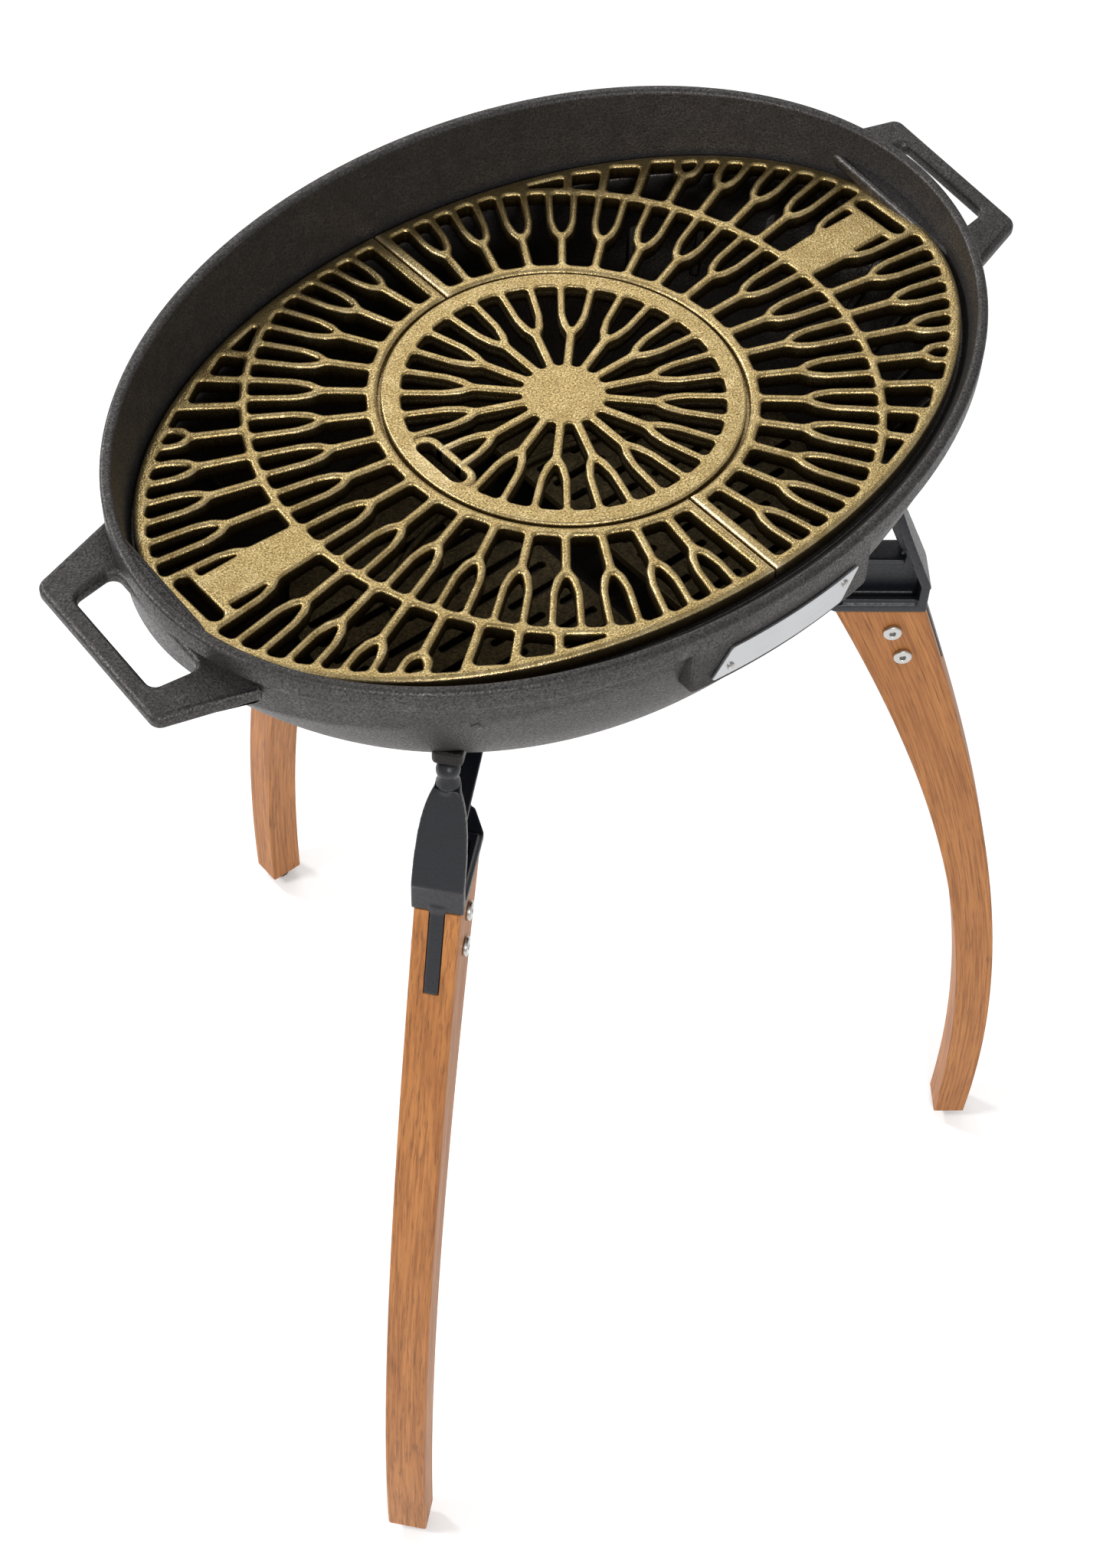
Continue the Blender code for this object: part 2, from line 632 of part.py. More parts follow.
def panel_y(x):
    """The Y of the raised panel's face, which follows the collar."""
    return -(half_width - PANEL_INSET) * math.sqrt(1 - (x / (half_length - PANEL_INSET)) ** 2)


def bowl_lug(name, station):
    inside = wall_reach(station, STUD_DROP) - BOWL_WALL * 0.6
    mesh = box(f"{name}_lug", (inside, -LUG_WIDTH / 2, -STUD_DROP),
               (arm_place + LUG_OVERHANG, LUG_WIDTH / 2, -STUD_DROP + LUG_HEIGHT))
    return add_mesh(f"{name}_lug", mesh, None, station)


def bowl_boss(name, station):
    mesh = cylinder(f"{name}_boss", PAD_RADIUS, -BOWL_DEPTH - BOSS_HEIGHT, -BOWL_DEPTH + BOWL_WALL / 2)
    return add_mesh(f"{name}_boss", mesh, None, station, Matrix.Translation((PAD_PLACE, 0, 0)))


def badge():
    """The name plate is bent to the panel's curve. Its ends are cut on opposite slants."""
    tip, half, slant = BADGE_LENGTH / 2, BADGE_HEIGHT / 2, BADGE_SLANT
    bottom = [(x - slant / 2, -half) for x in spaced(BADGE_LENGTH - slant, BADGE_STEPS)]
    top = [(x + slant / 2, half) for x in spaced(BADGE_LENGTH - slant, BADGE_STEPS)[::-1]]
    hole = RIVET_RADIUS * 0.55
    rivets = {"left": (-tip + RIVET_INSET, -RIVET_OFFSET), "right": (tip - RIVET_INSET, RIVET_OFFSET)}
    holes = [[(x + dx, z + dz) for dx, dz in circle(hole, 8)] for x, z in rivets.values()]
    mesh = prism("name_plate", [bottom + top] + holes, GAP, GAP + BADGE_THICKNESS)
    mesh.transform(Matrix.Rotation(math.pi / 2, 4, "X"))
    for vert in mesh.vertices:
        vert.co.y += panel_y(vert.co.x)
    add_mesh("name_plate", mesh, PLATE_METAL, None, Matrix.Translation((0, 0, -BADGE_DROP)))
    shank, head, dome = hole - GAP, RIVET_RADIUS, BADGE_THICKNESS + 3 * GAP
    profile = [(0, 2 * GAP), (shank, 2 * GAP), (shank, dome), (head, dome), (head * 0.85, dome + 0.0008),
               (0, dome + 0.0013)]
    for side, (x, z) in rivets.items():
        slope = math.atan2(panel_y(x + GAP) - panel_y(x - GAP), 2 * GAP)
        facing = Matrix.Rotation(slope, 4, "Z") @ Matrix.Rotation(math.pi / 2, 4, "X")
        place = Matrix.Translation((x, panel_y(x), z - BADGE_DROP)) @ facing
        turned(f"name_plate_rivet_{side}", profile, 12, STEEL, None, place)


# ---------------------------------------------------------------- charcoal plates


def charcoal_plate_slots(a, b):
    """Rows of slots along X as (start, end, y); every other row is moved along by half a pitch."""
    slots = []
    rows = int((b - PLATE_MARGIN) / PLATE_SLOT_PITCH_Y)
    first = PLATE_GAP / 2 + PLATE_MARGIN
    for row in range(-rows, rows + 1):
        y = row * PLATE_SLOT_PITCH_Y
        row_end = a * math.sqrt(1 - ((abs(y) + PLATE_SLOT_WIDTH / 2) / b) ** 2) - PLATE_MARGIN
        if y > PLATE_SLOTS_BACK:
            continue
        start = first - (row % 2) * PLATE_SLOT_PITCH_X / 2
        while start < row_end:
            low, high = max(first, start), min(start + PLATE_SLOT_LENGTH, row_end)
            if high - low > LEAST_WINDOW:
                slots.append((low, high, y))
            start += PLATE_SLOT_PITCH_X
    return slots


def charcoal_plates():
    wall_a, wall_b = inner_wall(PLATE_DROP + PLATE_THICKNESS)
    floor_a, floor_b = inner_wall(BOWL_DEPTH - BOWL_WALL)
    a, b = wall_a - PLATE_CLEARANCE, wall_b - PLATE_CLEARANCE
    half = PLATE_SLOT_WIDTH / 2
    turn = math.acos(PLATE_GAP / 2 / a)
    loops = [arc(a, b, -turn, turn, 24)]
    for low, high, y in charcoal_plate_slots(a, b):
        loops.append([(low, y - half), (high, y - half), (high, y + half), (low, y + half)])
    top = -PLATE_DROP
    floor = -BOWL_DEPTH + BOWL_WALL + GAP
    feet = []
    for x_share, y_share in PLATE_FEET:
        row = math.floor(y_share * floor_b / PLATE_SLOT_PITCH_Y) + 0.5
        feet.append((x_share * floor_a, row * PLATE_SLOT_PITCH_Y))
    for side, name in ((1, "charcoal_plate_right"), (-1, "charcoal_plate_left")):
        sided = [[(side * x, y) for x, y in loop[::side]] for loop in loops]
        plate = add_mesh(name, prism(name, sided, top - PLATE_THICKNESS, top), CAST_IRON)
        for i, (x, y) in enumerate(feet):
            foot = cylinder(f"{name}_foot_{i}", PLATE_FOOT_RADIUS * 0.8, floor, top - PLATE_THICKNESS / 2, 12,
                            PLATE_FOOT_RADIUS)
            combine(plate, "UNION", add_mesh(f"{name}_foot_{i}", foot, None, None,
                                             Matrix.Translation((side * x, y, 0))))


# ---------------------------------------------------------------- legs and brackets


def leg_edges():
    """The leg's outer and inner edges in its own plane, as (distance from its station, height)."""
    top_out = arm_place + ARM_THICKNESS + ARM_LEAN
    top_in = top_out - LEG_TOP_WIDTH
    foot_out, foot_in = FOOT_RADIUS + LEG_FOOT_WIDTH / 2, FOOT_RADIUS - LEG_FOOT_WIDTH / 2
    high, low = leg_top - (leg_top - leg_bottom) * 0.25, leg_top - (leg_top - leg_bottom) * 0.60
    outer = bezier((top_out, leg_top), (top_out + LEG_BULGE_TOP, high), (foot_out + LEG_BULGE_FOOT, low),
                   (foot_out, leg_bottom), LEG_STEPS)
    inner_high = high - LEG_TOP_WIDTH * 0.55
    inner = bezier((top_in, leg_top), (top_in + LEG_BULGE_TOP * 1.75, inner_high),
                   (foot_in + LEG_BULGE_FOOT * 0.5, low), (foot_in, leg_bottom), LEG_STEPS)
    return outer, inner


def edge_at(edge, height):
    for (x0, z0), (x1, z1) in zip(edge, edge[1:]):
        if z1 <= height <= z0:
            return x0 + (x1 - x0) * (z0 - height) / (z0 - z1)
    return edge[-1][0]


def fin_outline(outer, inner, grow):
    """The bracket's fin inside the leg, from the leg's top down, as (x, z) points with a margin added."""
    levels = [leg_top - FIN_LENGTH * i / FIN_STEPS for i in range(FIN_STEPS + 1)]
    outside = [(edge_at(outer, z) + FIN_PROUD + grow, z) for z in levels]
    outside[-1] = (outside[-1][0], outside[-1][1] - grow)
    back = [(edge_at(inner, z) + FIN_SETBACK - grow, z) for z in (levels[-2], levels[0])]
    low_corner = (edge_at(outer, levels[-1]) - FIN_SETBACK * 0.6, levels[-1] - grow)
    return outside + [low_corner] + back


def leg(name, station, outer, inner):
    item = add_mesh(name, upright_prism(name, [outer + inner[::-1]], LEG_THICKNESS / 2), OAK, station)
    fin = fin_outline(outer, inner, GAP)
    mouth = [(x + OVERRUN, z) for x, z in fin[:FIN_STEPS + 1]]
    above = leg_top + OVERRUN
    slot = [(mouth[0][0], above)] + mouth + fin[FIN_STEPS + 1:] + [(fin[-1][0], above)]
    slot_mesh = upright_prism(f"{name}_slot", [slot], WEB_THICKNESS / 2 + GAP)
    combine(item, "DIFFERENCE", add_mesh(f"{name}_slot", slot_mesh, None, station))
    for x, z in bolt_places(outer, inner):
        bore = cylinder(f"{name}_bore", SLEEVE_RADIUS + GAP, -LEG_THICKNESS, LEG_THICKNESS, 12)
        combine(item, "DIFFERENCE", add_mesh(f"{name}_bore", bore, None, station, across(x, 0, z)))
    stud = cylinder(f"{name}_stud_bore", GLIDE_STUD + GAP, leg_bottom - OVERRUN,
                    leg_bottom + GLIDE_STUD_LENGTH, 12)
    combine(item, "DIFFERENCE", add_mesh(f"{name}_stud_bore", stud, None, station,
                                         Matrix.Translation((FOOT_RADIUS, 0, 0))))


def across(x, y, z, flip=1):
    """Placement of a turned piece whose axis runs through the leg's thickness."""
    return Matrix.Translation((x, y, z)) @ Matrix.Rotation(-flip * math.pi / 2, 4, "X")


def bolt_places(outer, inner):
    places = []
    for drop in BOLT_DROPS:
        z = leg_top - drop
        places.append((edge_at(outer, z) * BOLT_SHARE + edge_at(inner, z) * (1 - BOLT_SHARE), z))
    return places


def bracket(name, station, outer, inner):
    web_half = WEB_THICKNESS / 2
    shelf_out = outer[0][0]
    shelf_top = leg_top + GAP + SHELF_THICKNESS
    arm_foot = leg_top + 0.5 * LEG_BELOW_BOWL
    pad_top = -BOWL_DEPTH - BOSS_HEIGHT - GAP
    beam_top, beam_low = pad_top - 0.0010, pad_top - PAD_THICKNESS + 0.0010
    beam_end = PAD_PLACE + PAD_RADIUS - 0.0040
    stud_base = -STUD_DROP - GAP - STUD_HEIGHT
    arm_in = arm_place - ARM_THICKNESS
    fin = fin_outline(outer, inner, 0.0)
    lean_share = (stud_base - beam_top) / (stud_base - arm_foot)
    web = [
        (shelf_out, leg_top + 0.5 * SHELF_THICKNESS),
        (shelf_out, arm_foot),
        (arm_place + ARM_THICKNESS, stud_base),
        (arm_in, stud_base),
        (arm_in + ARM_LEAN * lean_share, beam_top),
        (beam_end, beam_top),
        (beam_end, beam_low),
        (shelf_out - SHELF_LENGTH, shelf_top - 0.002),
        (fin[-1][0], leg_top + 0.5 * SHELF_THICKNESS),
    ]
    outline = web + fin[::-1]
    item = add_mesh(name, upright_prism(name, [outline], web_half), BLACK_CAST, station)
    half = SHELF_WIDTH / 2
    shelf_in = shelf_out - SHELF_LENGTH
    narrow, leg_in = web_half + 0.002, inner[0][0]
    shelf_loop = rounded([(shelf_out, -half), (shelf_out, half), (leg_in, half), (shelf_in, narrow),
                          (shelf_in, -narrow), (leg_in, -half)], 0.004, 2)
    shelf = prism(f"{name}_shelf", [shelf_loop], leg_top + GAP, shelf_top)
    slope = Vector((arm_place + ARM_THICKNESS - shelf_out, stud_base - arm_foot))
    rise = arm_foot - leg_top - GAP
    top = ARM_TOP_WIDTH / 2
    lower_face = [(-half, 0), (half, 0), (half, rise), (-half, rise)]
    lower = prism(f"{name}_face", [lower_face], -ARM_THICKNESS, 0)
    lower.transform(Matrix.Translation((shelf_out, 0, leg_top + GAP)) @ standing_plate(0.0))
    side = [(half, -0.002), (half * 0.95, slope.length * 0.35), (top * 1.4, slope.length * 0.80),
            (top, slope.length)]
    upper = prism(f"{name}_arm", [side + [(-x, y) for x, y in side[::-1]]], -ARM_THICKNESS, 0)
    lean = math.atan2(-slope.x, slope.y)
    upper.transform(Matrix.Translation((shelf_out, 0, arm_foot)) @ standing_plate(lean))
    pad = cylinder(f"{name}_pad", PAD_RADIUS, pad_top - PAD_THICKNESS, pad_top, 20)
    stud_seat = cylinder(f"{name}_stud_seat", ARM_TOP_WIDTH / 2, stud_base - ARM_THICKNESS, stud_base, 16)
    combine(item, "UNION", add_mesh(f"{name}_shelf", shelf, None, station),
            add_mesh(f"{name}_face", lower, None, station),
            add_mesh(f"{name}_arm", upper, None, station),
            add_mesh(f"{name}_pad", pad, None, station, Matrix.Translation((PAD_PLACE, 0, 0))),
            add_mesh(f"{name}_stud_seat", stud_seat, None, station, Matrix.Translation((arm_place, 0, 0))))
    hole = cylinder(f"{name}_pad_hole", PAD_BOLT_RADIUS + GAP, pad_top - PAD_THICKNESS - OVERRUN,
                    pad_top + OVERRUN)
    combine(item, "DIFFERENCE", add_mesh(f"{name}_pad_hole", hole, None, station,
                                         Matrix.Translation((PAD_PLACE, 0, 0))))
    for x, z in bolt_places(outer, inner):
        bore = cylinder(f"{name}_bore", SLEEVE_RADIUS + GAP, -LEG_THICKNESS, LEG_THICKNESS, 12)
        combine(item, "DIFFERENCE", add_mesh(f"{name}_bore", bore, None, station, across(x, 0, z)))


def standing_plate(lean):
    """Turns a plate drawn in X-Y so that its X runs across the leg and its Y runs up, leaning inwards."""
    return Matrix.Rotation(-lean, 4, "Y") @ Matrix(((0, 0, 1, 0), (1, 0, 0, 0), (0, 1, 0, 0), (0, 0, 0, 1)))


def hex_recess(name, station, matrix, top):
    mesh = cylinder(f"{name}_hex", HEX_ACROSS / math.sqrt(3), top - HEX_DEPTH, top + OVERRUN, 6)
    return add_mesh(f"{name}_hex", mesh, None, station, matrix)


def leg_fasteners(name, station, outer, inner):
    face = LEG_THICKNESS / 2 + GAP
    edge, rim = BOLT_HEAD_RADIUS, BOLT_HEAD_RADIUS * 0.86
    for (x, z), level in zip(bolt_places(outer, inner), ("upper", "lower")):
        bolt_name, nut_name = f"{name}_bolt_{level}", f"{name}_sleeve_nut_{level}"
        bolt_matrix, nut_matrix = across(x, 0, z, 1), across(x, 0, z, -1)
        top = face + BOLT_HEAD_HEIGHT
        bolt_profile = [(0, -face * 0.6), (BOLT_RADIUS, -face * 0.6), (BOLT_RADIUS, face), (edge, face),
                        (edge, top - 0.0007), (rim, top), (0, top)]
        bolt = turned(bolt_name, bolt_profile, 12, STEEL, station, bolt_matrix)
        combine(bolt, "DIFFERENCE", hex_recess(bolt_name, station, bolt_matrix, top))
        nut_profile = [(0, face * 0.7), (BOLT_RADIUS + GAP, face * 0.7), (BOLT_RADIUS + GAP, -face * 0.9),
                       (SLEEVE_RADIUS, -face * 0.9), (SLEEVE_RADIUS, face), (edge, face),
                       (edge, top - 0.0007), (rim, top), (0, top)]
        nut = turned(nut_name, nut_profile, 12, STEEL, station, nut_matrix)
        combine(nut, "DIFFERENCE", hex_recess(nut_name, station, nut_matrix, top))


def pad_bolt(name, station):
    under = -BOWL_DEPTH - BOSS_HEIGHT - GAP - PAD_THICKNESS - GAP
    tip = -BOWL_DEPTH - BOSS_HEIGHT + PAD_BOLT_BITE - GAP
    low = under - PAD_BOLT_HEAD_HEIGHT
    profile = [(0, low), (PAD_BOLT_HEAD * 0.9, low), (PAD_BOLT_HEAD, low + 0.0008), (PAD_BOLT_HEAD, under),
               (PAD_BOLT_RADIUS, under), (PAD_BOLT_RADIUS, tip), (0, tip)]
    turned(f"{name}_bracket_bolt", profile, 12, STEEL, station, Matrix.Translation((PAD_PLACE, 0, 0)))


def rest_stud(name, station):
    top = -STUD_DROP - GAP
    base = top - STUD_HEIGHT + GAP
    ball = top - STUD_RADIUS
    profile = [(0, base), (STUD_RADIUS, base), (STUD_NECK, base + 0.3 * STUD_HEIGHT),
               (STUD_NECK, ball - STUD_RADIUS * 0.6)]
    profile += [(STUD_RADIUS * math.cos(a), ball + STUD_RADIUS * math.sin(a))
                for a in (math.radians(d) for d in (-20, 10, 40, 65))]
    profile += [(0, top)]
    turned(f"{name}_rest_stud", profile, 12, BLACK_CAST, station, Matrix.Translation((arm_place, 0, 0)))


def foot_glide(name, station):
    low, high = -COOK_HEIGHT + SOLE_HEIGHT + GAP, leg_bottom - GAP
    place = Matrix.Translation((FOOT_RADIUS, 0, 0))
    cap = [(0, low), (GLIDE_RADIUS, low), (GLIDE_RADIUS, high - 0.0012), (GLIDE_RADIUS * 0.85, high),
           (GLIDE_STUD, high), (GLIDE_STUD, leg_bottom + GLIDE_STUD_LENGTH - GAP * 2),
           (0, leg_bottom + GLIDE_STUD_LENGTH - GAP * 2)]
    turned(f"{name}_glide_cap", cap, 16, STEEL, station, place)
    sole = cylinder(f"{name}_glide_sole", SOLE_RADIUS, -COOK_HEIGHT, -COOK_HEIGHT + SOLE_HEIGHT, 16)
    add_mesh(f"{name}_glide_sole", sole, BLACK_PLASTIC, station, place)


def leg_set(name, station, outer, inner):
    leg(name, station, outer, inner)
    bracket(f"{name}_bracket", station, outer, inner)
    leg_fasteners(name, station, outer, inner)
    pad_bolt(name, station)
    rest_stud(name, station)
    foot_glide(name, station)


# ---------------------------------------------------------------- assembly

leg_planes = {
    "leg_front_right": (-LEG_ANGLE, LEG_OFFSET),
    "leg_front_left": (math.pi + LEG_ANGLE, -LEG_OFFSET),
    "leg_back": (math.pi / 2, 0.0),
}
leg_stations = {}
for leg_name, (leg_angle, leg_offset) in leg_planes.items():
    leg_station = bpy.data.objects.new(f"{leg_name}_station", None)
    grill.objects.link(leg_station)
    leg_station.parent = assembly
    leg_station.rotation_euler.z = leg_angle
    leg_station.location.xy = polar(leg_offset, leg_angle + math.pi / 2)
    leg_stations[leg_name] = leg_station
arm_place = max(wall_reach(station, STUD_DROP) for station in leg_stations.values()) + STUD_RADIUS
bpy.context.view_layer.update()

fire_bowl()
charcoal_plates()
cooking_grates()
centre_grate()
badge()
outer_edge, inner_edge = leg_edges()
for leg_name, leg_station in leg_stations.items():
    leg_set(leg_name, leg_station, outer_edge, inner_edge)

# The feet stand on z = 0, and the footprint's middle goes to the origin.
bpy.context.view_layer.update()
graph = bpy.context.evaluated_depsgraph_get()
solids = [item for item in grill.objects if item.type == "MESH"]
corners = [item.matrix_world @ v.co for item in solids for v in item.evaluated_get(graph).data.vertices]
middle = [(min(c[i] for c in corners) + max(c[i] for c in corners)) / 2 for i in range(2)]
assembly.location = (-middle[0], -middle[1], COOK_HEIGHT)
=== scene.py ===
"""The finished look of an oval cast-iron charcoal grill on three oak legs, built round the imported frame.

Lengths are in metres. Shapes are drawn about the bowl's upright axis, with z = 0 at the cooking surface.
"""
import json
import math

import bmesh
import bpy
from mathutils import Matrix, Vector
from mathutils.geometry import tessellate_polygon

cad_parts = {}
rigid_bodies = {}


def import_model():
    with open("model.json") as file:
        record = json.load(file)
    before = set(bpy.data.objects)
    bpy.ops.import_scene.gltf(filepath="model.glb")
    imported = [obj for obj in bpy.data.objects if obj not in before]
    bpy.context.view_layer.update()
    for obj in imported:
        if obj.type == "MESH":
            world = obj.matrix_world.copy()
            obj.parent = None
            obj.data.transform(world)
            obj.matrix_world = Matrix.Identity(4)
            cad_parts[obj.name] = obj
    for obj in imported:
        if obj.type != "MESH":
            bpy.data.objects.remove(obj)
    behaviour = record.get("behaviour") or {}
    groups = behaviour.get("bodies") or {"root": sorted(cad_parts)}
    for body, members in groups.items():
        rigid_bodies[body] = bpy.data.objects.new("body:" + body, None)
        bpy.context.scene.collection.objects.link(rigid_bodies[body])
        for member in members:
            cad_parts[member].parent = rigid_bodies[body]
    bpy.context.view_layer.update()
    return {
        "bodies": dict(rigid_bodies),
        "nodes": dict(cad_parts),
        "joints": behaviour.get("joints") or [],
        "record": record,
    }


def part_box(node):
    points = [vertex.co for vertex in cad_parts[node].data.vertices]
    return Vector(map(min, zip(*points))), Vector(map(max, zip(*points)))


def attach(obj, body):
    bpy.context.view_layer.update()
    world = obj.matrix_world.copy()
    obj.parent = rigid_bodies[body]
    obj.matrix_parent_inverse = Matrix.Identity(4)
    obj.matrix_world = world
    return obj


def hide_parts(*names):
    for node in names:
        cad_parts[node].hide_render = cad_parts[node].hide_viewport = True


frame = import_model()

# ---------------------------------------------------------------- sizes

RIM_RISE = 0.0235
RIM_TILT = math.radians(7.9)
LIP_WIDTH = 0.0068
LIP_ROUND = 0.0026
COLLAR_HEIGHT = 0.0140
COLLAR_STEP = 0.0035
SEAT_INSET = 0.0127
LEDGE_WIDTH, LEDGE_HEIGHT = 0.0088, 0.0060
BOWL_DEPTH = 0.1460
BOWL_WALL = 0.0065
END_DRAFT, END_CURVE = 0.0707, 0.0790
SIDE_DRAFT, SIDE_CURVE = 0.0234, 0.0702
BOWL_SEGMENTS, BOWL_RINGS = 192, 28
HANDLE_REACH = 0.0355
HANDLE_TIP_WIDTH, HANDLE_ROOT_WIDTH = 0.106, 0.136
HANDLE_BAR, HANDLE_ARM, HANDLE_HOLE_FLARE = 0.0115, 0.0180, 0.0035
HANDLE_THICKNESS, HANDLE_DROP, HANDLE_ROUND = 0.0095, 0.0200, 0.0034
HANDLE_CORNER, HANDLE_HOLE_CORNER = 0.0070, 0.0055
HANDLE_START = 0.0090
RIB_COUNT, RIB_SPREAD = 9, math.radians(96)
RIB_DEPTH, RIB_HEIGHT, RIB_WIDTH, RIB_SOFT = 0.052, 0.056, 0.006, 0.0018

GRATE_THICKNESS = 0.0100
GRATE_CLEARANCE = 0.0023
BAR_ROUND = 0.0021
EDGE_BAR_ROUND = 0.0030
OUTER_BAR, SPLIT_BAR, RING_BAR, MID_BAR = 0.0068, 0.0063, 0.0066, 0.0052
SPLIT_GAP = 0.0016
MID_RING_RADIUS = 0.1830
CENTRE_RADIUS, CENTRE_BAND = 0.1050, 0.0114
HUB_RADIUS = 0.0245
RING_GAP = 0.0018
STEP_THICKNESS, STEP_WIDTH = 0.0048, 0.0068
STEM_WIDTH, PRONG_WIDTH = 0.0054, 0.0045
CENTRE_STEMS, HALF_STEMS = 16, 17
RING_PITCH = math.radians(10.0)
OUTER_PITCH = math.radians(6.5)
CENTRE_STEM_LENGTH, RING_STEM_LENGTH, OUTER_STEM_LENGTH = 0.0275, 0.0245, 0.0275
ARCH_LENGTH = 0.0170
WINDOW_CORNER = 0.0030
FORK_BEND = 0.0075
LEAST_WINDOW = 0.0070
SLOT_LENGTH, SLOT_WIDTH, SLOT_WALL = 0.0380, 0.0095, 0.0058
SLOT_SETBACK = 0.0045
CENTRE_SLOT_INSET = 0.0105

PLATE_DROP, PLATE_THICKNESS, PLATE_CLEARANCE, PLATE_GAP = 0.1118, 0.0060, 0.0050, 0.0310
PLATE_SLOT_LENGTH, PLATE_SLOT_WIDTH = 0.0400, 0.0046
PLATE_SLOT_PITCH_X, PLATE_SLOT_PITCH_Y = 0.0530, 0.0156
PLATE_SLOTS_BACK, PLATE_MARGIN = 0.0500, 0.0085
BEAD_WIDTH, BEAD_HEIGHT, BEAD_START = 0.005, 0.0035, 0.15

PANEL_WIDTH, PANEL_TOP, PANEL_BOTTOM, PANEL_INSET = 0.134, -0.0100, -0.0480, 0.0005
BADGE_DROP = 0.0330
BADGE_LENGTH, BADGE_HEIGHT, BADGE_THICKNESS, BADGE_SLANT = 0.110, 0.0200, 0.0016, 0.0130
PANEL_DEPTH = 0.0140
BADGE_POINT, BADGE_CORNER = 0.0045, 0.0090
RIVET_RADIUS, RIVET_INSET, RIVET_OFFSET = 0.0024, 0.0125, 0.0042

LEG_ANGLE = math.radians(39.0)
LEG_OFFSET = 0.0239
FOOT_RADIUS = 0.3387
LEG_THICKNESS, LEG_EDGE = 0.0280, 0.0016
LEG_TOP_WIDTH, LEG_FOOT_WIDTH = 0.0582, 0.0240
LEG_BELOW_BOWL = 0.0480
LEG_BULGE_TOP, LEG_BULGE_FOOT = 0.0530, 0.0130
LEG_STEPS = 40
WEB_THICKNESS = 0.0090
SHELF_WIDTH, SHELF_THICKNESS, SHELF_LENGTH = 0.0310, 0.0062, 0.0760
ARM_TOP_WIDTH, ARM_THICKNESS, ARM_LEAN = 0.0150, 0.0060, 0.0245
PAD_RADIUS, PAD_THICKNESS, PAD_PLACE = 0.0145, 0.0110, 0.0730
BOSS_HEIGHT = 0.0050
CAST_GRAIN, CAST_SMOOTHING = 0.0010, 3
FIN_LENGTH, FIN_STEPS, FIN_SETBACK, FIN_PROUD = 0.0550, 8, 0.0180, 0.0010
STUD_RADIUS, STUD_HEIGHT, STUD_NECK, STUD_DROP = 0.0070, 0.0190, 0.0050, 0.0925
LUG_WIDTH, LUG_HEIGHT, LUG_OVERHANG = 0.0180, 0.0110, 0.0045
BOLT_HEAD_RADIUS, BOLT_HEAD_HEIGHT = 0.0061, 0.0026
BOLT_DROPS = (0.0187, 0.0415)
BOLT_SHARE = 0.54
HEX_ACROSS, HEX_DEPTH = 0.0040, 0.0018
PAD_BOLT_HEAD, PAD_BOLT_HEAD_HEIGHT = 0.0065, 0.0050
GLIDE_RADIUS, GLIDE_HEIGHT = 0.0088, 0.0045
SOLE_RADIUS, SOLE_HEIGHT = 0.0080, 0.0040
GAP = 0.0003
OVERRUN = 0.0200

LENS, SENSOR, ROLL = 60.75, 36.0, math.radians(2.84)
SKY_STRENGTH, FLOOR_GLOW = 0.55, 0.12

# Places that the frame gives
centre_low, centre_high = (Vector(corner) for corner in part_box("centre_grate"))
grate_low, grate_high = (Vector(corner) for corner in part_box("cooking_grate_right"))
axis_y = (centre_low.y + centre_high.y) / 2
cook_top = centre_high.z
grate_a = grate_high.x
grate_b = (grate_high.y - grate_low.y) / 2 / math.sqrt(1 - (SPLIT_GAP / 2 / grate_a) ** 2)
half_length = grate_a + GRATE_CLEARANCE + SEAT_INSET
half_width = grate_b + GRATE_CLEARANCE + SEAT_INSET
seat_a, seat_b = half_length - SEAT_INSET, half_width - SEAT_INSET
leg_top = -BOWL_DEPTH - LEG_BELOW_BOWL
leg_bottom = -cook_top + SOLE_HEIGHT + GLIDE_HEIGHT + 2 * GAP
HOME = Matrix.Translation((0, axis_y, cook_top))


# ---------------------------------------------------------------- plane geometry


def polar(radius, angle):
    return (radius * math.cos(angle), radius * math.sin(angle))


def oval_radius(a, b, angle):
    return 1 / math.hypot(math.cos(angle) / a, math.sin(angle) / b)


def arc(a, b, start, end, steps):
    turns = (start + (end - start) * i / steps for i in range(steps + 1))
    return [(a * math.cos(turn), b * math.sin(turn)) for turn in turns]


def circle(radius, steps):
    return arc(radius, radius, 0, math.tau * (steps - 1) / steps, steps - 1)


def beside(radius, angle, offset):
    """The point at a radius that lies a distance to one side of the ray at this angle."""
    return polar(radius, angle + math.asin(max(-1.0, min(1.0, offset / radius))))


def bezier(p0, p1, p2, p3, steps):
    weights = ((1 - t, t) for t in (i / steps for i in range(steps + 1)))
    axes = list(zip(p0, p1, p2, p3))
    return [
        tuple(s**3 * a + 3 * s * s * t * b + 3 * s * t * t * c + t**3 * d for a, b, c, d in axes)
        for s, t in weights
    ]


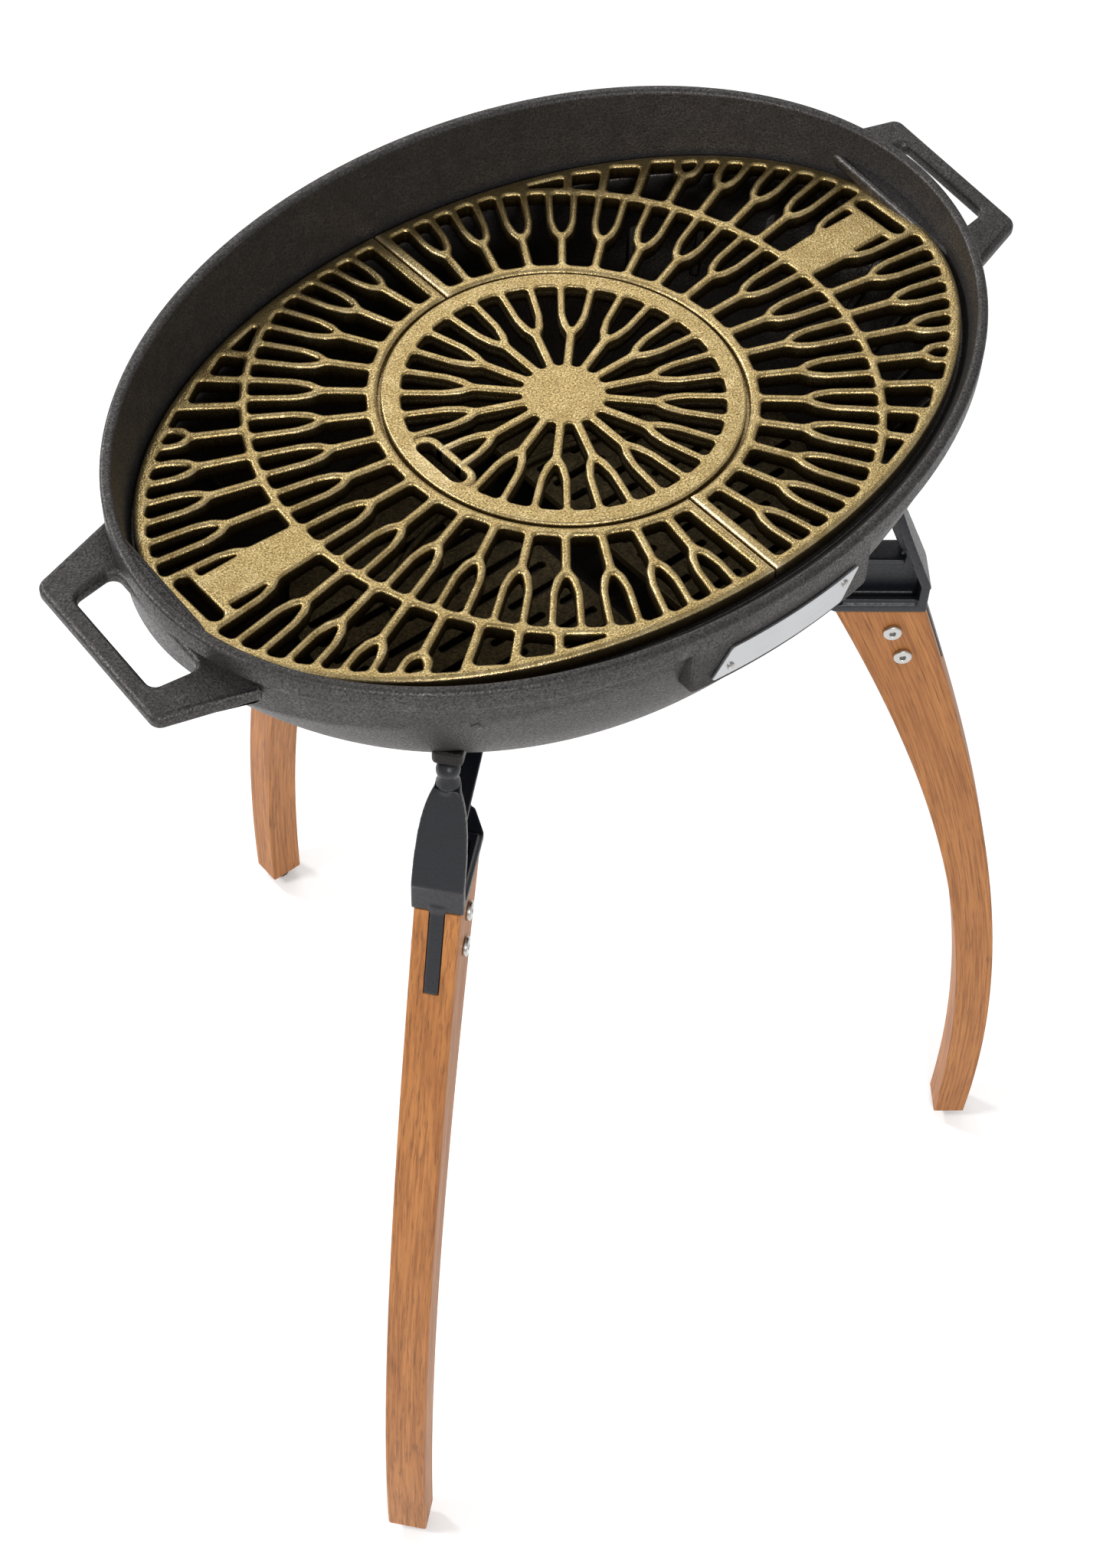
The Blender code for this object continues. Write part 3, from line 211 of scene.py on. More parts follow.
def rounded(points, radius, steps=5):
    """The closed outline with each corner replaced by an arc. radius is one number or one for each corner."""
    outline = []
    count = len(points)
    radii = radius if isinstance(radius, (list, tuple)) else [radius] * count
    for i, corner in enumerate(points):
        corner = Vector(corner)
        before = Vector(points[i - 1]) - corner
        after = Vector(points[(i + 1) % count]) - corner
        if min(before.length, after.length) < 1e-7:
            continue
        half_turn = before.angle(after) / 2
        if math.pi / 2 - half_turn < math.radians(1.5):
            outline.append(corner[:])
            continue
        reach = min(radii[i] / math.tan(half_turn), 0.48 * before.length, 0.48 * after.length)
        start = corner + before.normalized() * reach
        end = corner + after.normalized() * reach
        centre_way = (before.normalized() + after.normalized()).normalized()
        centre = corner + centre_way * (reach / math.cos(half_turn))
        first, last = start - centre, end - centre
        sweep = first.angle_signed(last)
        used = max(1, round(steps * abs(sweep) / (math.pi / 2)))
        for step in range(used + 1):
            turn = -sweep * step / used
            arm = Vector((
                first.x * math.cos(turn) - first.y * math.sin(turn),
                first.x * math.sin(turn) + first.y * math.cos(turn),
            ))
            outline.append((centre + arm)[:])
    return outline


def signed_area(loop):
    return sum(a[0] * b[1] - b[0] * a[1] for a, b in zip(loop, loop[1:] + loop[:1])) / 2


def inset_loop(loop, distance):
    """Each point moved to the left of the direction of travel, with mitred corners."""
    moved = []
    count = len(loop)
    for i, point in enumerate(loop):
        here = Vector(point)
        way_in = (here - Vector(loop[i - 1])).normalized()
        way_out = (Vector(loop[(i + 1) % count]) - here).normalized()
        left = Vector((-way_in.y - way_out.y, way_in.x + way_out.x))
        if left.length < 1e-6:
            left = Vector((-way_in.y, way_in.x))
        left.normalize()
        stretch = max(0.5, left.dot(Vector((-way_in.y, way_in.x))))
        moved.append((here + left * (distance / stretch))[:])
    return moved


# ---------------------------------------------------------------- mesh makers


def mesh_from(name, work):
    bmesh.ops.recalc_face_normals(work, faces=work.faces)
    mesh = bpy.data.meshes.new(name)
    work.to_mesh(mesh)
    work.free()
    return mesh


def layered(name, loops, layers, outline_share=1.0):
    """A closed plate from an outline and its holes, through (inset, height) layers from face to face.

    outline_share scales the inset of the outline alone.
    """
    oriented = []
    for i, loop in enumerate(loops):
        turned_right = signed_area(loop) < 0
        oriented.append(loop[::-1] if turned_right != (i > 0) else loop)
    work = bmesh.new()
    levels = []
    for inset, height in layers:
        level = []
        for i, loop in enumerate(oriented):
            shape = inset_loop(loop, inset * (outline_share if i == 0 else 1.0)) if inset else loop
            level.append([work.verts.new((x, y, height)) for x, y in shape])
        levels.append(level)
    for lower, upper in zip(levels, levels[1:]):
        for ring, following in zip(lower, upper):
            count = len(ring)
            for i in range(count):
                j = (i + 1) % count
                work.faces.new((ring[i], ring[j], following[j], following[i]))
    for level in (levels[0], levels[-1]):
        flat = [vert for ring in level for vert in ring]
        triangles = tessellate_polygon([[vert.co for vert in ring] for ring in level])
        caps = [work.faces.new([flat[i] for i in triangle]) for triangle in triangles]
        bmesh.ops.beautify_fill(work, faces=caps, edges=list({edge for face in caps for edge in face.edges}))
    return mesh_from(name, work)


def round_edges(low, high, radius, low_radius=None, steps=4):
    """Layers of a plate from low to high whose edges are quarter rounds."""
    under = radius if low_radius is None else low_radius
    quarter = [math.pi / 2 * i / steps for i in range(steps + 1)]
    layers = [(under * (1 - math.sin(a)), low + under * (1 - math.cos(a))) for a in quarter]
    layers += [(radius * (1 - math.cos(a)), high - radius * (1 - math.sin(a))) for a in quarter]
    return layers


def upright(mesh):
    """A plate drawn in X-Y is stood up in the X-Z plane."""
    mesh.transform(Matrix.Rotation(math.pi / 2, 4, "X"))
    return mesh


def oval_shell(name, stations, segments=BOWL_SEGMENTS):
    """A closed skin through ovals given as (half length, half width, height, tilt)."""
    work = bmesh.new()
    rings = []
    for a, b, height, tilt in stations:
        rise = math.tan(tilt)
        rings.append([
            work.verts.new((x, y, height + y * rise))
            for x, y in arc(a, b, 0, math.tau * (segments - 1) / segments, segments - 1)
        ])
    for ring, following in zip(rings, rings[1:]):
        for i in range(segments):
            j = (i + 1) % segments
            work.faces.new((ring[i], ring[j], following[j], following[i]))
    for ring in (rings[0], rings[-1]):
        centre = work.verts.new(sum((vert.co for vert in ring), Vector()) / segments)
        for i in range(segments):
            work.faces.new((ring[i], ring[(i + 1) % segments], centre))
    return mesh_from(name, work)


def lathe(name, profile, steps=32):
    """A solid of revolution about Z through (radius, height) points whose ends are on the axis."""
    work = bmesh.new()
    verts = [work.verts.new((radius, 0, height)) for radius, height in profile]
    edges = [work.edges.new(pair) for pair in zip(verts, verts[1:])]
    bmesh.ops.spin(
        work, geom=verts + edges, cent=(0, 0, 0), axis=(0, 0, 1), angle=math.tau, steps=steps, use_merge=True
    )
    bmesh.ops.remove_doubles(work, verts=work.verts, dist=1e-6)
    return mesh_from(name, work)


def soft_box(name, low, high, radius):
    (x0, y0, z0), (x1, y1, z1) = low, high
    loop = rounded([(x0, y0), (x1, y0), (x1, y1), (x0, y1)], radius * 1.5, 4)
    return layered(name, [loop], round_edges(z0, z1, radius, steps=3))


def joined(name, meshes):
    """Several meshes as one, each still closed."""
    work = bmesh.new()
    for mesh in meshes:
        work.from_mesh(mesh)
        bpy.data.meshes.remove(mesh)
    mesh = bpy.data.meshes.new(name)
    work.to_mesh(mesh)
    work.free()
    return mesh


def placed(mesh, matrix):
    mesh.transform(matrix)
    return mesh


def on_side(mesh, side):
    """The mesh as it is for side 1, or its mirror image across X = 0 for side -1."""
    mesh.transform(Matrix.Diagonal((side, 1, 1, 1)))
    if side < 0:
        mesh.flip_normals()
    return mesh


def settled(obj):
    """Turns what the object's modifiers make into its plain mesh."""
    graph = bpy.context.evaluated_depsgraph_get()
    mesh = bpy.data.meshes.new_from_object(obj.evaluated_get(graph))
    obj.modifiers.clear()
    obj.data = mesh
    return obj


def helper(mesh):
    obj = bpy.data.objects.new(mesh.name, mesh)
    bpy.context.scene.collection.objects.link(obj)
    return obj


def solid_work(mesh, operation, tools):
    """The mesh joined with, or cut by, others."""
    base = helper(mesh)
    others = [helper(tool) for tool in tools]
    for other in others:
        modifier = base.modifiers.new("solid", "BOOLEAN")
        modifier.operation = operation
        modifier.solver = "EXACT"
        modifier.object = other
    settled(base)
    result = base.data
    for obj in [base] + others:
        bpy.data.objects.remove(obj)
    return result


def cast_together(meshes, grain, smoothing):
    """Solids melted into one casting with soft edges and fillets."""
    base = helper(joined(meshes[0].name, meshes))
    remesh = base.modifiers.new("melt", "REMESH")
    remesh.mode = "VOXEL"
    remesh.voxel_size = grain
    smooth = base.modifiers.new("fillets", "SMOOTH")
    smooth.factor = 0.5
    smooth.iterations = smoothing
    settled(base)
    result = base.data
    bpy.data.objects.remove(base)
    return result


def piece(name, mesh, finish, body, *nodes, crisp=38.0, place=None):
    """A finished piece in its material that moves with a body and stands for CAD nodes."""
    mesh.transform(HOME @ (place or Matrix()))
    mesh.name = name
    mesh.materials.clear()
    mesh.materials.append(finishes[finish])
    mesh.shade_smooth()
    mesh.set_sharp_from_angle(angle=math.radians(crisp))
    obj = bpy.data.objects.new(name, mesh)
    bpy.context.scene.collection.objects.link(obj)
    weighted = obj.modifiers.new("faces", "WEIGHTED_NORMAL")
    weighted.keep_sharp = True
    weighted.weight = 75
    settled(obj)
    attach(obj, body)
    if nodes:
        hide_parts(*nodes)
    return obj


# ---------------------------------------------------------------- shader groups and finishes


def new_group(name, inputs, outputs):
    tree = bpy.data.node_groups.new(name, "ShaderNodeTree")
    for label, kind, value in inputs:
        socket = tree.interface.new_socket(label, in_out="INPUT", socket_type=kind)
        if value is not None:
            socket.default_value = value
    for label, kind in outputs:
        tree.interface.new_socket(label, in_out="OUTPUT", socket_type=kind)
    return tree, tree.nodes.new("NodeGroupInput"), tree.nodes.new("NodeGroupOutput")


def add(tree, kind, links=(), **settings):
    """A node with its settings; links are (input name or number, output socket or value)."""
    node = tree.nodes.new(kind)
    for key, value in settings.items():
        setattr(node, key, value)
    for key, source in links:
        if isinstance(source, bpy.types.NodeSocket):
            tree.links.new(source, node.inputs[key])
        else:
            node.inputs[key].default_value = source
    return node


def calc(tree, operation, *values):
    """What a Math node makes of outputs or numbers."""
    return add(tree, "ShaderNodeMath", enumerate(values), operation=operation).outputs[0]


def ranged(tree, value, low, high, to_low=0.0, to_high=1.0):
    """The value with low to high stretched over to_low to to_high, and held at the ends."""
    labels = ("Value", "From Min", "From Max", "To Min", "To Max")
    return add(tree, "ShaderNodeMapRange", zip(labels, (value, low, high, to_low, to_high))).outputs[0]


def noise(tree, where, scale, detail, roughness=0.5, distortion=0.0):
    labels = ("Vector", "Scale", "Detail", "Roughness", "Distortion")
    values = (where, scale, detail, roughness, distortion)
    return add(tree, "ShaderNodeTexNoise", zip(labels, values)).outputs[0]


def stretched(tree, where, size):
    """Coordinates scaled by a size of their own on each axis."""
    mapping = add(tree, "ShaderNodeMapping", [("Vector", where)])
    mapping.inputs["Scale"].default_value = size
    return mapping.outputs[0]


def make_sand_grain():
    """The pebbled skin that a sand mould leaves: fine grains over slow unevenness."""
    tree, given, out = new_group(
        "sand_cast_skin",
        [("Vector", "NodeSocketVector", None), ("Grains per metre", "NodeSocketFloat", 900.0),
         ("Unevenness", "NodeSocketFloat", 0.35)],
        [("Height", "NodeSocketFloat"), ("Tone", "NodeSocketFloat"), ("Patches", "NodeSocketFloat")],
    )
    where, grains, unevenness = given.outputs[:3]
    fine = noise(tree, where, grains, 2.0, 0.6)
    slow = noise(tree, where, calc(tree, "MULTIPLY", grains, 0.11), 3.0, 0.55)
    pits = add(tree, "ShaderNodeTexVoronoi", [("Vector", where), ("Scale", grains)]).outputs[0]
    height = calc(tree, "MULTIPLY_ADD", pits, 0.35, calc(tree, "MULTIPLY_ADD", slow, unevenness, fine))
    for i, source in enumerate((height, ranged(tree, fine, 0.30, 0.70), ranged(tree, slow, 0.32, 0.68))):
        tree.links.new(source, out.inputs[i])
    return tree


def make_edge_wear_and_highlight_group():
    """A mask that is 1 on sharp edges, broken up by noise: rubbed wear and a painted highlight both lighten
    there.
    """
    tree, given, out = new_group(
        "rubbed_edges",
        [("Vector", "NodeSocketVector", None), ("Start", "NodeSocketFloat", 0.52),
         ("Full", "NodeSocketFloat", 0.60)],
        [("Mask", "NodeSocketFloat")],
    )
    where, start, full = given.outputs[:3]
    # Pointiness finds the convex edges that get rubbed wear and a painted highlight.
    edge = add(tree, "ShaderNodeNewGeometry").outputs["Pointiness"]
    shift = calc(tree, "MULTIPLY_ADD", noise(tree, where, 120.0, 3.0), 0.06, -0.03)
    tree.links.new(ranged(tree, calc(tree, "ADD", edge, shift), start, full), out.inputs[0])
    return tree


def new_finish(name, metallic, specular=0.5):
    material = bpy.data.materials.new(name)
    material.use_nodes = True
    tree = material.node_tree
    shader = tree.nodes["Principled BSDF"]
    shader.inputs["Metallic"].default_value = metallic
    shader.inputs["Specular IOR Level"].default_value = specular
    where = tree.nodes.new("ShaderNodeTexCoord").outputs["Object"]
    return material, tree, shader, where


def mixed(tree, factor, first, second):
    node = add(tree, "ShaderNodeMix", data_type="RGBA")
    for index, source in ((0, factor), (6, first), (7, second)):
        if isinstance(source, bpy.types.NodeSocket):
            tree.links.new(source, node.inputs[index])
        else:
            node.inputs[index].default_value = source if index == 0 else (*source, 1.0)
    return node.outputs[2]


def dress(tree, shader, colour, roughness, strength, depth, height):
    """Colour, roughness and relief to the shader."""
    bump = add(tree, "ShaderNodeBump", [("Strength", strength), ("Distance", depth), ("Height", height)])
    for label, source in (("Base Color", colour), ("Roughness", roughness), ("Normal", bump.outputs[0])):
        tree.links.new(source, shader.inputs[label])


def grouped(tree, group, *values):
    node = add(tree, "ShaderNodeGroup", node_tree=group)
    for socket, value in zip(node.inputs, values):
        if isinstance(value, bpy.types.NodeSocket):
            tree.links.new(value, socket)
        else:
            socket.default_value = value
    return node


def cast_finish(name, dark, light, patch, accent, metallic, roughness, grains, depth,
                edges=(0.53, 0.62), shade_ramp=None):
    """A sand-cast metal: grain in colour, roughness and relief, slow patches, edges lightened towards the
    accent colour as rubbed wear and painted highlight, and an optional painted-shade ramp (top, bottom,
    colour) that darkens towards the bottom.
    """
    material, tree, shader, where = new_finish(name, metallic)
    height, tone, patches = grouped(tree, sand_grain, where, grains).outputs[:3]
    colour = mixed(tree, tone, dark, light)
    colour = mixed(tree, calc(tree, "MULTIPLY", patches, 0.55), colour, patch)
    # Painted highlight together with rubbed wear: sharp edges lightened towards the accent colour.
    colour = mixed(tree, grouped(tree, wear_and_highlight_edges, where, *edges).outputs[0], colour, accent)
    # Painted shade: the colour darkens from the ramp's top height down to its bottom height.
    if shade_ramp:
        top, bottom, tint = shade_ramp
        up = add(tree, "ShaderNodeSeparateXYZ", [(0, where)]).outputs[2]
        colour = mixed(tree, ranged(tree, up, top, bottom), colour, tint)
    low, high = roughness
    dress(tree, shader, colour, ranged(tree, tone, 0.0, 1.0, high, low), 0.85, depth, height)
    return material


def oak_finish(name):
    """Oiled oak whose fibres follow the leg, from the piece's own fibre directions."""
    material, tree, shader, _ = new_finish(name, 0.0, 0.42)
    fibre = add(tree, "ShaderNodeAttribute", attribute_name="fibre").outputs["Vector"]

    broad = noise(tree, stretched(tree, fibre, (4.5, 62.0, 46.0)), 1.0, 3.0, 0.5, 0.9)
    streak = noise(tree, stretched(tree, fibre, (14.0, 620.0, 480.0)), 1.0, 4.0, 0.6)
    pores = noise(tree, stretched(tree, fibre, (48.0, 1150.0, 1000.0)), 1.0, 2.0)
    pore = ranged(tree, pores, 0.56, 0.68, 0.0, 0.55)
    colour = mixed(tree, ranged(tree, broad, 0.30, 0.72), (0.490, 0.198, 0.050), (0.370, 0.135, 0.030))
    colour = mixed(tree, ranged(tree, streak, 0.42, 0.62, 0.0, 0.80), colour, (0.250, 0.084, 0.018))
    colour = mixed(tree, pore, colour, (0.090, 0.030, 0.009))
    rough = ranged(tree, streak, 0.0, 1.0, 0.44, 0.62)
    dress(tree, shader, colour, rough, 0.35, 0.0004, calc(tree, "MULTIPLY_ADD", pore, -0.6, streak))
    return material


def brushed_finish(name, colour, accent, roughness, along, depth):
    """Bare metal with fine brush lines; along sets the stretch of the lines on X, Y and Z."""
    material, tree, shader, where = new_finish(name, 1.0)
    lines = noise(tree, stretched(tree, where, along), 1.0, 3.0)
    low, high = roughness
    rough = ranged(tree, noise(tree, where, 60.0, 2.0), 0.3, 0.7, low, high)
    dress(tree, shader, mixed(tree, lines, colour, accent), rough, 0.3, depth, lines)
    return material


sand_grain = make_sand_grain()
# Edge mask for rubbed wear and painted highlight.
wear_and_highlight_edges = make_edge_wear_and_highlight_group()
# The fourth colour of each cast finish is its edge colour: rubbed wear and a painted highlight.
finishes = {
    "cast_iron": cast_finish(
        "seasoned_iron", (0.020, 0.018, 0.018), (0.115, 0.108, 0.106), (0.040, 0.036, 0.034),
        (0.22, 0.21, 0.20), 0.75, (0.34, 0.58), 760.0, 0.00035, (0.53, 0.62),
        # painted shade: the iron darkens from 14 mm to 60 mm below the cooking surface
        (cook_top - 0.014, cook_top - 0.060, (0.016, 0.013, 0.011)),
    ),
    "bronze_cast": cast_finish(
        "bronze_heat_coat", (0.140, 0.096, 0.034), (0.600, 0.460, 0.215), (0.250, 0.168, 0.062),
        (0.85, 0.70, 0.42), 1.0, (0.25, 0.44), 820.0, 0.00034, (0.515, 0.60),
        # painted shade: the bronze darkens down the sides of the bars, from 1 mm to 8 mm below the top
        (cook_top - 0.0010, cook_top - 0.0080, (0.075, 0.044, 0.012)),
    ),
    "oiled_oak": oak_finish("oiled_oak"),
    "black_coated_casting": cast_finish(
        "black_satin_coat", (0.003, 0.0034, 0.0055), (0.008, 0.009, 0.015), (0.005, 0.0056, 0.009),
        (0.024, 0.026, 0.036), 0.0, (0.34, 0.50), 520.0, 0.00014, (0.56, 0.70),
    ),
    "stainless_steel": brushed_finish(
        "turned_stainless", (0.60, 0.59, 0.57), (0.46, 0.45, 0.43), (0.16, 0.30), (900, 900, 900), 0.00003,
    ),
    "brushed_plate": brushed_finish(
        "satin_plate", (0.60, 0.61, 0.62), (0.50, 0.51, 0.52), (0.28, 0.40), (30, 900, 1800), 0.00003,
    ),
    "black_plastic": cast_finish(
        "moulded_sole", (0.010, 0.010, 0.010), (0.020, 0.020, 0.020), (0.014, 0.014, 0.014),
        (0.026, 0.026, 0.026), 0.0, (0.50, 0.62), 1400.0, 0.00008,
    ),
}
# Painted shade: a darker, bronze-tinted copy of the iron finish for the charcoal plates deep in the bowl.
finishes["smoked_iron"] = cast_finish(
    "smoked_bronze_iron", (0.022, 0.016, 0.006), (0.085, 0.062, 0.026), (0.034, 0.025, 0.010),
    (0.15, 0.11, 0.05), 0.80, (0.34, 0.56), 640.0, 0.00035,
)


# ---------------------------------------------------------------- cooking grates


def stem_window(low_angle, high_angle, spread, start, fork, end, low_wall=None, high_wall=None):
    """Opening between two neighbouring forks, which narrows where their prongs spread towards each other.

    end gives the outer limit at an angle. A wall is a straight bar on that side, given as the distance
    from its ray, in place of a fork.
    """
    def side(angle, sign, wall):
        if wall is not None:
            reach = end(angle + sign * wall / start)
            return [beside(start, angle, sign * wall), beside(reach, angle, sign * wall)], [WINDOW_CORNER] * 2
        stem, prong = sign * STEM_WIDTH / 2, sign * PRONG_WIDTH / 2
        reach = end(angle + sign * spread)
        if reach < fork + LEAST_WINDOW:
            return [beside(start, angle, stem), beside(reach, angle, stem)], [WINDOW_CORNER] * 2
        straight = min(fork + ARCH_LENGTH, (fork + reach) / 2)
        bend = fork + 0.4 * (straight - fork)
        points = [
            beside(start, angle, stem),
            beside(fork, angle, stem),
            beside(bend, angle + sign * spread * 0.72, prong),
            beside(straight, angle + sign * spread, prong),
            beside(reach, angle + sign * spread, prong),
        ]
        return points, [WINDOW_CORNER, FORK_BEND, FORK_BEND, 2 * FORK_BEND, WINDOW_CORNER]

    low, low_radii = side(low_angle, 1, low_wall)
    high, high_radii = side(high_angle, -1, high_wall)
    return rounded(low + high[::-1], low_radii + high_radii[::-1])


def fork_window(angle, spread, fork, end):
    """Pointed-arch opening between the two prongs of one fork, or None where there is no room."""
    reach = end(angle)
    tip = fork + PRONG_WIDTH
    if reach < tip + LEAST_WINDOW:
        return None
    straight = min(fork + ARCH_LENGTH, (tip + reach) / 2)
    bend = tip + 0.4 * (straight - tip)
    prong = PRONG_WIDTH / 2

    def side(sign):
        ray = angle + sign * spread
        return [
            beside(bend, angle + sign * spread * 0.72, -sign * prong),
            beside(straight, ray, -sign * prong),
            beside(end(ray), ray, -sign * prong),
        ]

    radii = [0.0012, FORK_BEND, 2 * FORK_BEND, WINDOW_CORNER, WINDOW_CORNER, 2 * FORK_BEND, FORK_BEND]
    return rounded([polar(tip, angle)] + side(1) + side(-1)[::-1], radii)


def slot_outline(centre_x, length, width):
    """A round-ended slot that runs along Y."""
    half, radius = (length - width) / 2, width / 2
    ends = []
    for sign, start in ((1, 0.0), (-1, math.pi)):
        for i in range(13):
            x, y = polar(radius, start + i * math.pi / 12)
            ends.append((centre_x + x, sign * half + y))
    return ends


def centre_grate_loops():
    edge = CENTRE_RADIUS - CENTRE_BAND
    pitch = math.tau / CENTRE_STEMS
    fork = HUB_RADIUS + CENTRE_STEM_LENGTH

    def end(_):
        return edge

    windows = []
    for i in range(CENTRE_STEMS):
        angle = i * pitch
        windows.append(stem_window(angle, angle + pitch, pitch / 4, HUB_RADIUS, fork, end))
        windows.append(fork_window(angle, pitch / 4, fork, end))
    return [w for w in windows if w]


def half_grate_loops():
    """The right-hand cooking grate's windows, seen from above."""
    quarter = math.pi / 2
    ring_outside = CENTRE_RADIUS + RING_GAP + RING_BAR
    bar_a, bar_b = grate_a - OUTER_BAR, grate_b - OUTER_BAR
    mid_inside, mid_outside = MID_RING_RADIUS - MID_BAR / 2, MID_RING_RADIUS + MID_BAR / 2

    def bar(angle):
        return oval_radius(bar_a, bar_b, angle)

    def ring_end(angle):
        return min(mid_inside, bar(angle))

    windows = []
    fork = ring_outside + RING_STEM_LENGTH
    last = (HALF_STEMS - 1) / 2
    wall = SPLIT_GAP / 2 + SPLIT_BAR
    for i in range(HALF_STEMS + 1):
        low = (i - 1 - last) * RING_PITCH
        first, final = i == 0, i == HALF_STEMS
        windows.append(stem_window(
            -quarter if first else low, quarter if final else low + RING_PITCH, RING_PITCH / 4,
            ring_outside, fork, ring_end, wall if first else None, wall if final else None,
        ))
        if not first:
            windows.append(fork_window(low, RING_PITCH / 4, fork, ring_end))
    return [w for w in windows + outer_windows(bar, mid_outside) if w]


def outer_windows(bar, start):
    """Windows between the middle ring and the outer bar, with the pad and lifting slot on the X axis."""
    fork = start + OUTER_STEM_LENGTH
    spread = OUTER_PITCH / 4
    slot_x = grate_a - OUTER_BAR - SLOT_WIDTH / 2 - SLOT_SETBACK
    pad_end = slot_x - SLOT_WIDTH / 2 - SLOT_WALL
    windows = [slot_outline(slot_x, SLOT_LENGTH, SLOT_WIDTH)]
    angle = OUTER_PITCH / 2
    while bar(angle + OUTER_PITCH) > start + LEAST_WINDOW:
        for sign in (1, -1):
            low, high = sorted((sign * angle, sign * (angle + OUTER_PITCH)))
            windows.append(stem_window(low, high, spread, start, fork, bar))
            if angle > OUTER_PITCH / 2:
                windows.append(fork_window(sign * angle, spread, fork, bar))
        angle += OUTER_PITCH
    for sign in (1, -1):
        windows.append(pad_window(sign, fork, spread, start, pad_end))
        windows.append(last_window(sign, angle, start, bar))
    return windows


def pad_window(sign, fork, spread, start, pad_end):
    """Small opening between the flat pad and the prong beside it."""
    pad_side = start * math.sin(OUTER_PITCH / 2) + STEM_WIDTH / 2
    prong_angle = OUTER_PITCH / 2 + spread
    straight = min(fork + ARCH_LENGTH, (fork + pad_end) / 2)
    inner = beside(straight, prong_angle, -PRONG_WIDTH / 2)
    top = pad_end * math.tan(prong_angle) - PRONG_WIDTH / 2
    corners = [(fork + PRONG_WIDTH, pad_side), inner, (pad_end, top), (pad_end, pad_side)]
    return rounded([(x, sign * y) for x, y in corners], [0.0008, FORK_BEND, 0.0018, 0.0014])


def last_window(sign, angle, start, bar):
    """The tapering opening after the last stem, where the outer bar closes on the middle ring."""
    close = angle
    step = math.radians(0.25)
    while bar(close + step) > start + PRONG_WIDTH / 2 and close < math.pi / 2 - step:
        close += step
    first = angle + STEM_WIDTH / 2 / start
    points = arc(start, start, first, close, 4)
    points += [polar(bar(close + (first - close) * i / 4), close + (first - close) * i / 4) for i in range(5)]
    return rounded([(x, sign * y) for x, y in points], 0.0024)


def half_grates():
    """Round-topped bars, with a step round the opening that carries the round grate."""
    step_inside = CENTRE_RADIUS - STEP_WIDTH + RING_GAP
    ring_inside = CENTRE_RADIUS + RING_GAP
    half_gap = SPLIT_GAP / 2
    outer_turn = math.acos(half_gap / grate_a)
    inner_turn = math.acos(half_gap / ring_inside)
    step_turn = math.acos(half_gap / step_inside)
    outline = arc(grate_a, grate_b, -outer_turn, outer_turn, 120)
    outline += arc(ring_inside, ring_inside, inner_turn, -inner_turn, 72)
    windows = half_grate_loops()
    bars = round_edges(-GRATE_THICKNESS, 0, BAR_ROUND, 0.0006)
    step = arc(ring_inside + RING_BAR / 2, ring_inside + RING_BAR / 2, -inner_turn, inner_turn, 72)
    step += arc(step_inside, step_inside, step_turn, -step_turn, 72)
    step_layers = round_edges(-GRATE_THICKNESS + GAP, -STEP_THICKNESS - GAP, 0.0006, steps=2)
    edge_share = EDGE_BAR_ROUND / BAR_ROUND
    for side, label in ((1, "right"), (-1, "left")):
        half = layered("half_grate", [outline] + windows, bars, edge_share)
        ledge = layered("half_grate_step", [step], step_layers)
        mesh = on_side(joined("half_grate", [half, ledge]), side)
        node = f"cooking_grate_{label}"
        piece(f"{node}_casting", mesh, "bronze_cast", "cooking_grates", node)


def centre_grate():
    """A flange, the thinner body under it and a frame round the lifting slot, all cut by one slot."""
    rim = circle(CENTRE_RADIUS, 160)
    body_rim = circle(CENTRE_RADIUS - STEP_WIDTH, 160)
    windows = centre_grate_loops()
    flange_layers = round_edges(-STEP_THICKNESS, 0, 0.0012, 0.0005)[:5]
    flange_layers += round_edges(-STEP_THICKNESS, 0, 0.0016)[5:]
    top = layered("round_grate", [rim] + windows, flange_layers)
    low = layered("round_grate_low", [body_rim] + windows, [
        (0.0005, -GRATE_THICKNESS), (0.0, -GRATE_THICKNESS + 0.0005), (0.0, -STEP_THICKNESS + 0.0006),
    ])
    slot_x = CENTRE_RADIUS - CENTRE_SLOT_INSET - SLOT_WIDTH / 2
    frame_length, frame_width = SLOT_LENGTH + 2 * SLOT_WALL, SLOT_WIDTH + 2 * SLOT_WALL
    frame = layered("slot_frame", [slot_outline(-slot_x, frame_length, frame_width)],
                    round_edges(-GRATE_THICKNESS + GAP, -GAP, 0.0024, 0.0004))
    cutter = layered("slot_cutter", [slot_outline(-slot_x, SLOT_LENGTH + 0.002, SLOT_WIDTH + 0.002)],
                     [(0.001, -OVERRUN), (0.001, -0.0016), (0.0007, -0.0008), (0.0, 0.0), (-0.002, 0.002)])
    pieces = [solid_work(mesh, "DIFFERENCE", [cutter.copy()]) for mesh in (top, low, frame)]
    piece("centre_grate_casting", joined("round_grate", pieces), "bronze_cast", "round_grate", "centre_grate")


# ---------------------------------------------------------------- fire bowl


def wall_inset(share):
    """How far the wall leans in from the collar, at the ends and at the sides, for a share of the depth."""
    curve = 1 - math.sqrt(max(0.0, 1 - share * share))
    return END_DRAFT * share + END_CURVE * curve, SIDE_DRAFT * share + SIDE_CURVE * curve


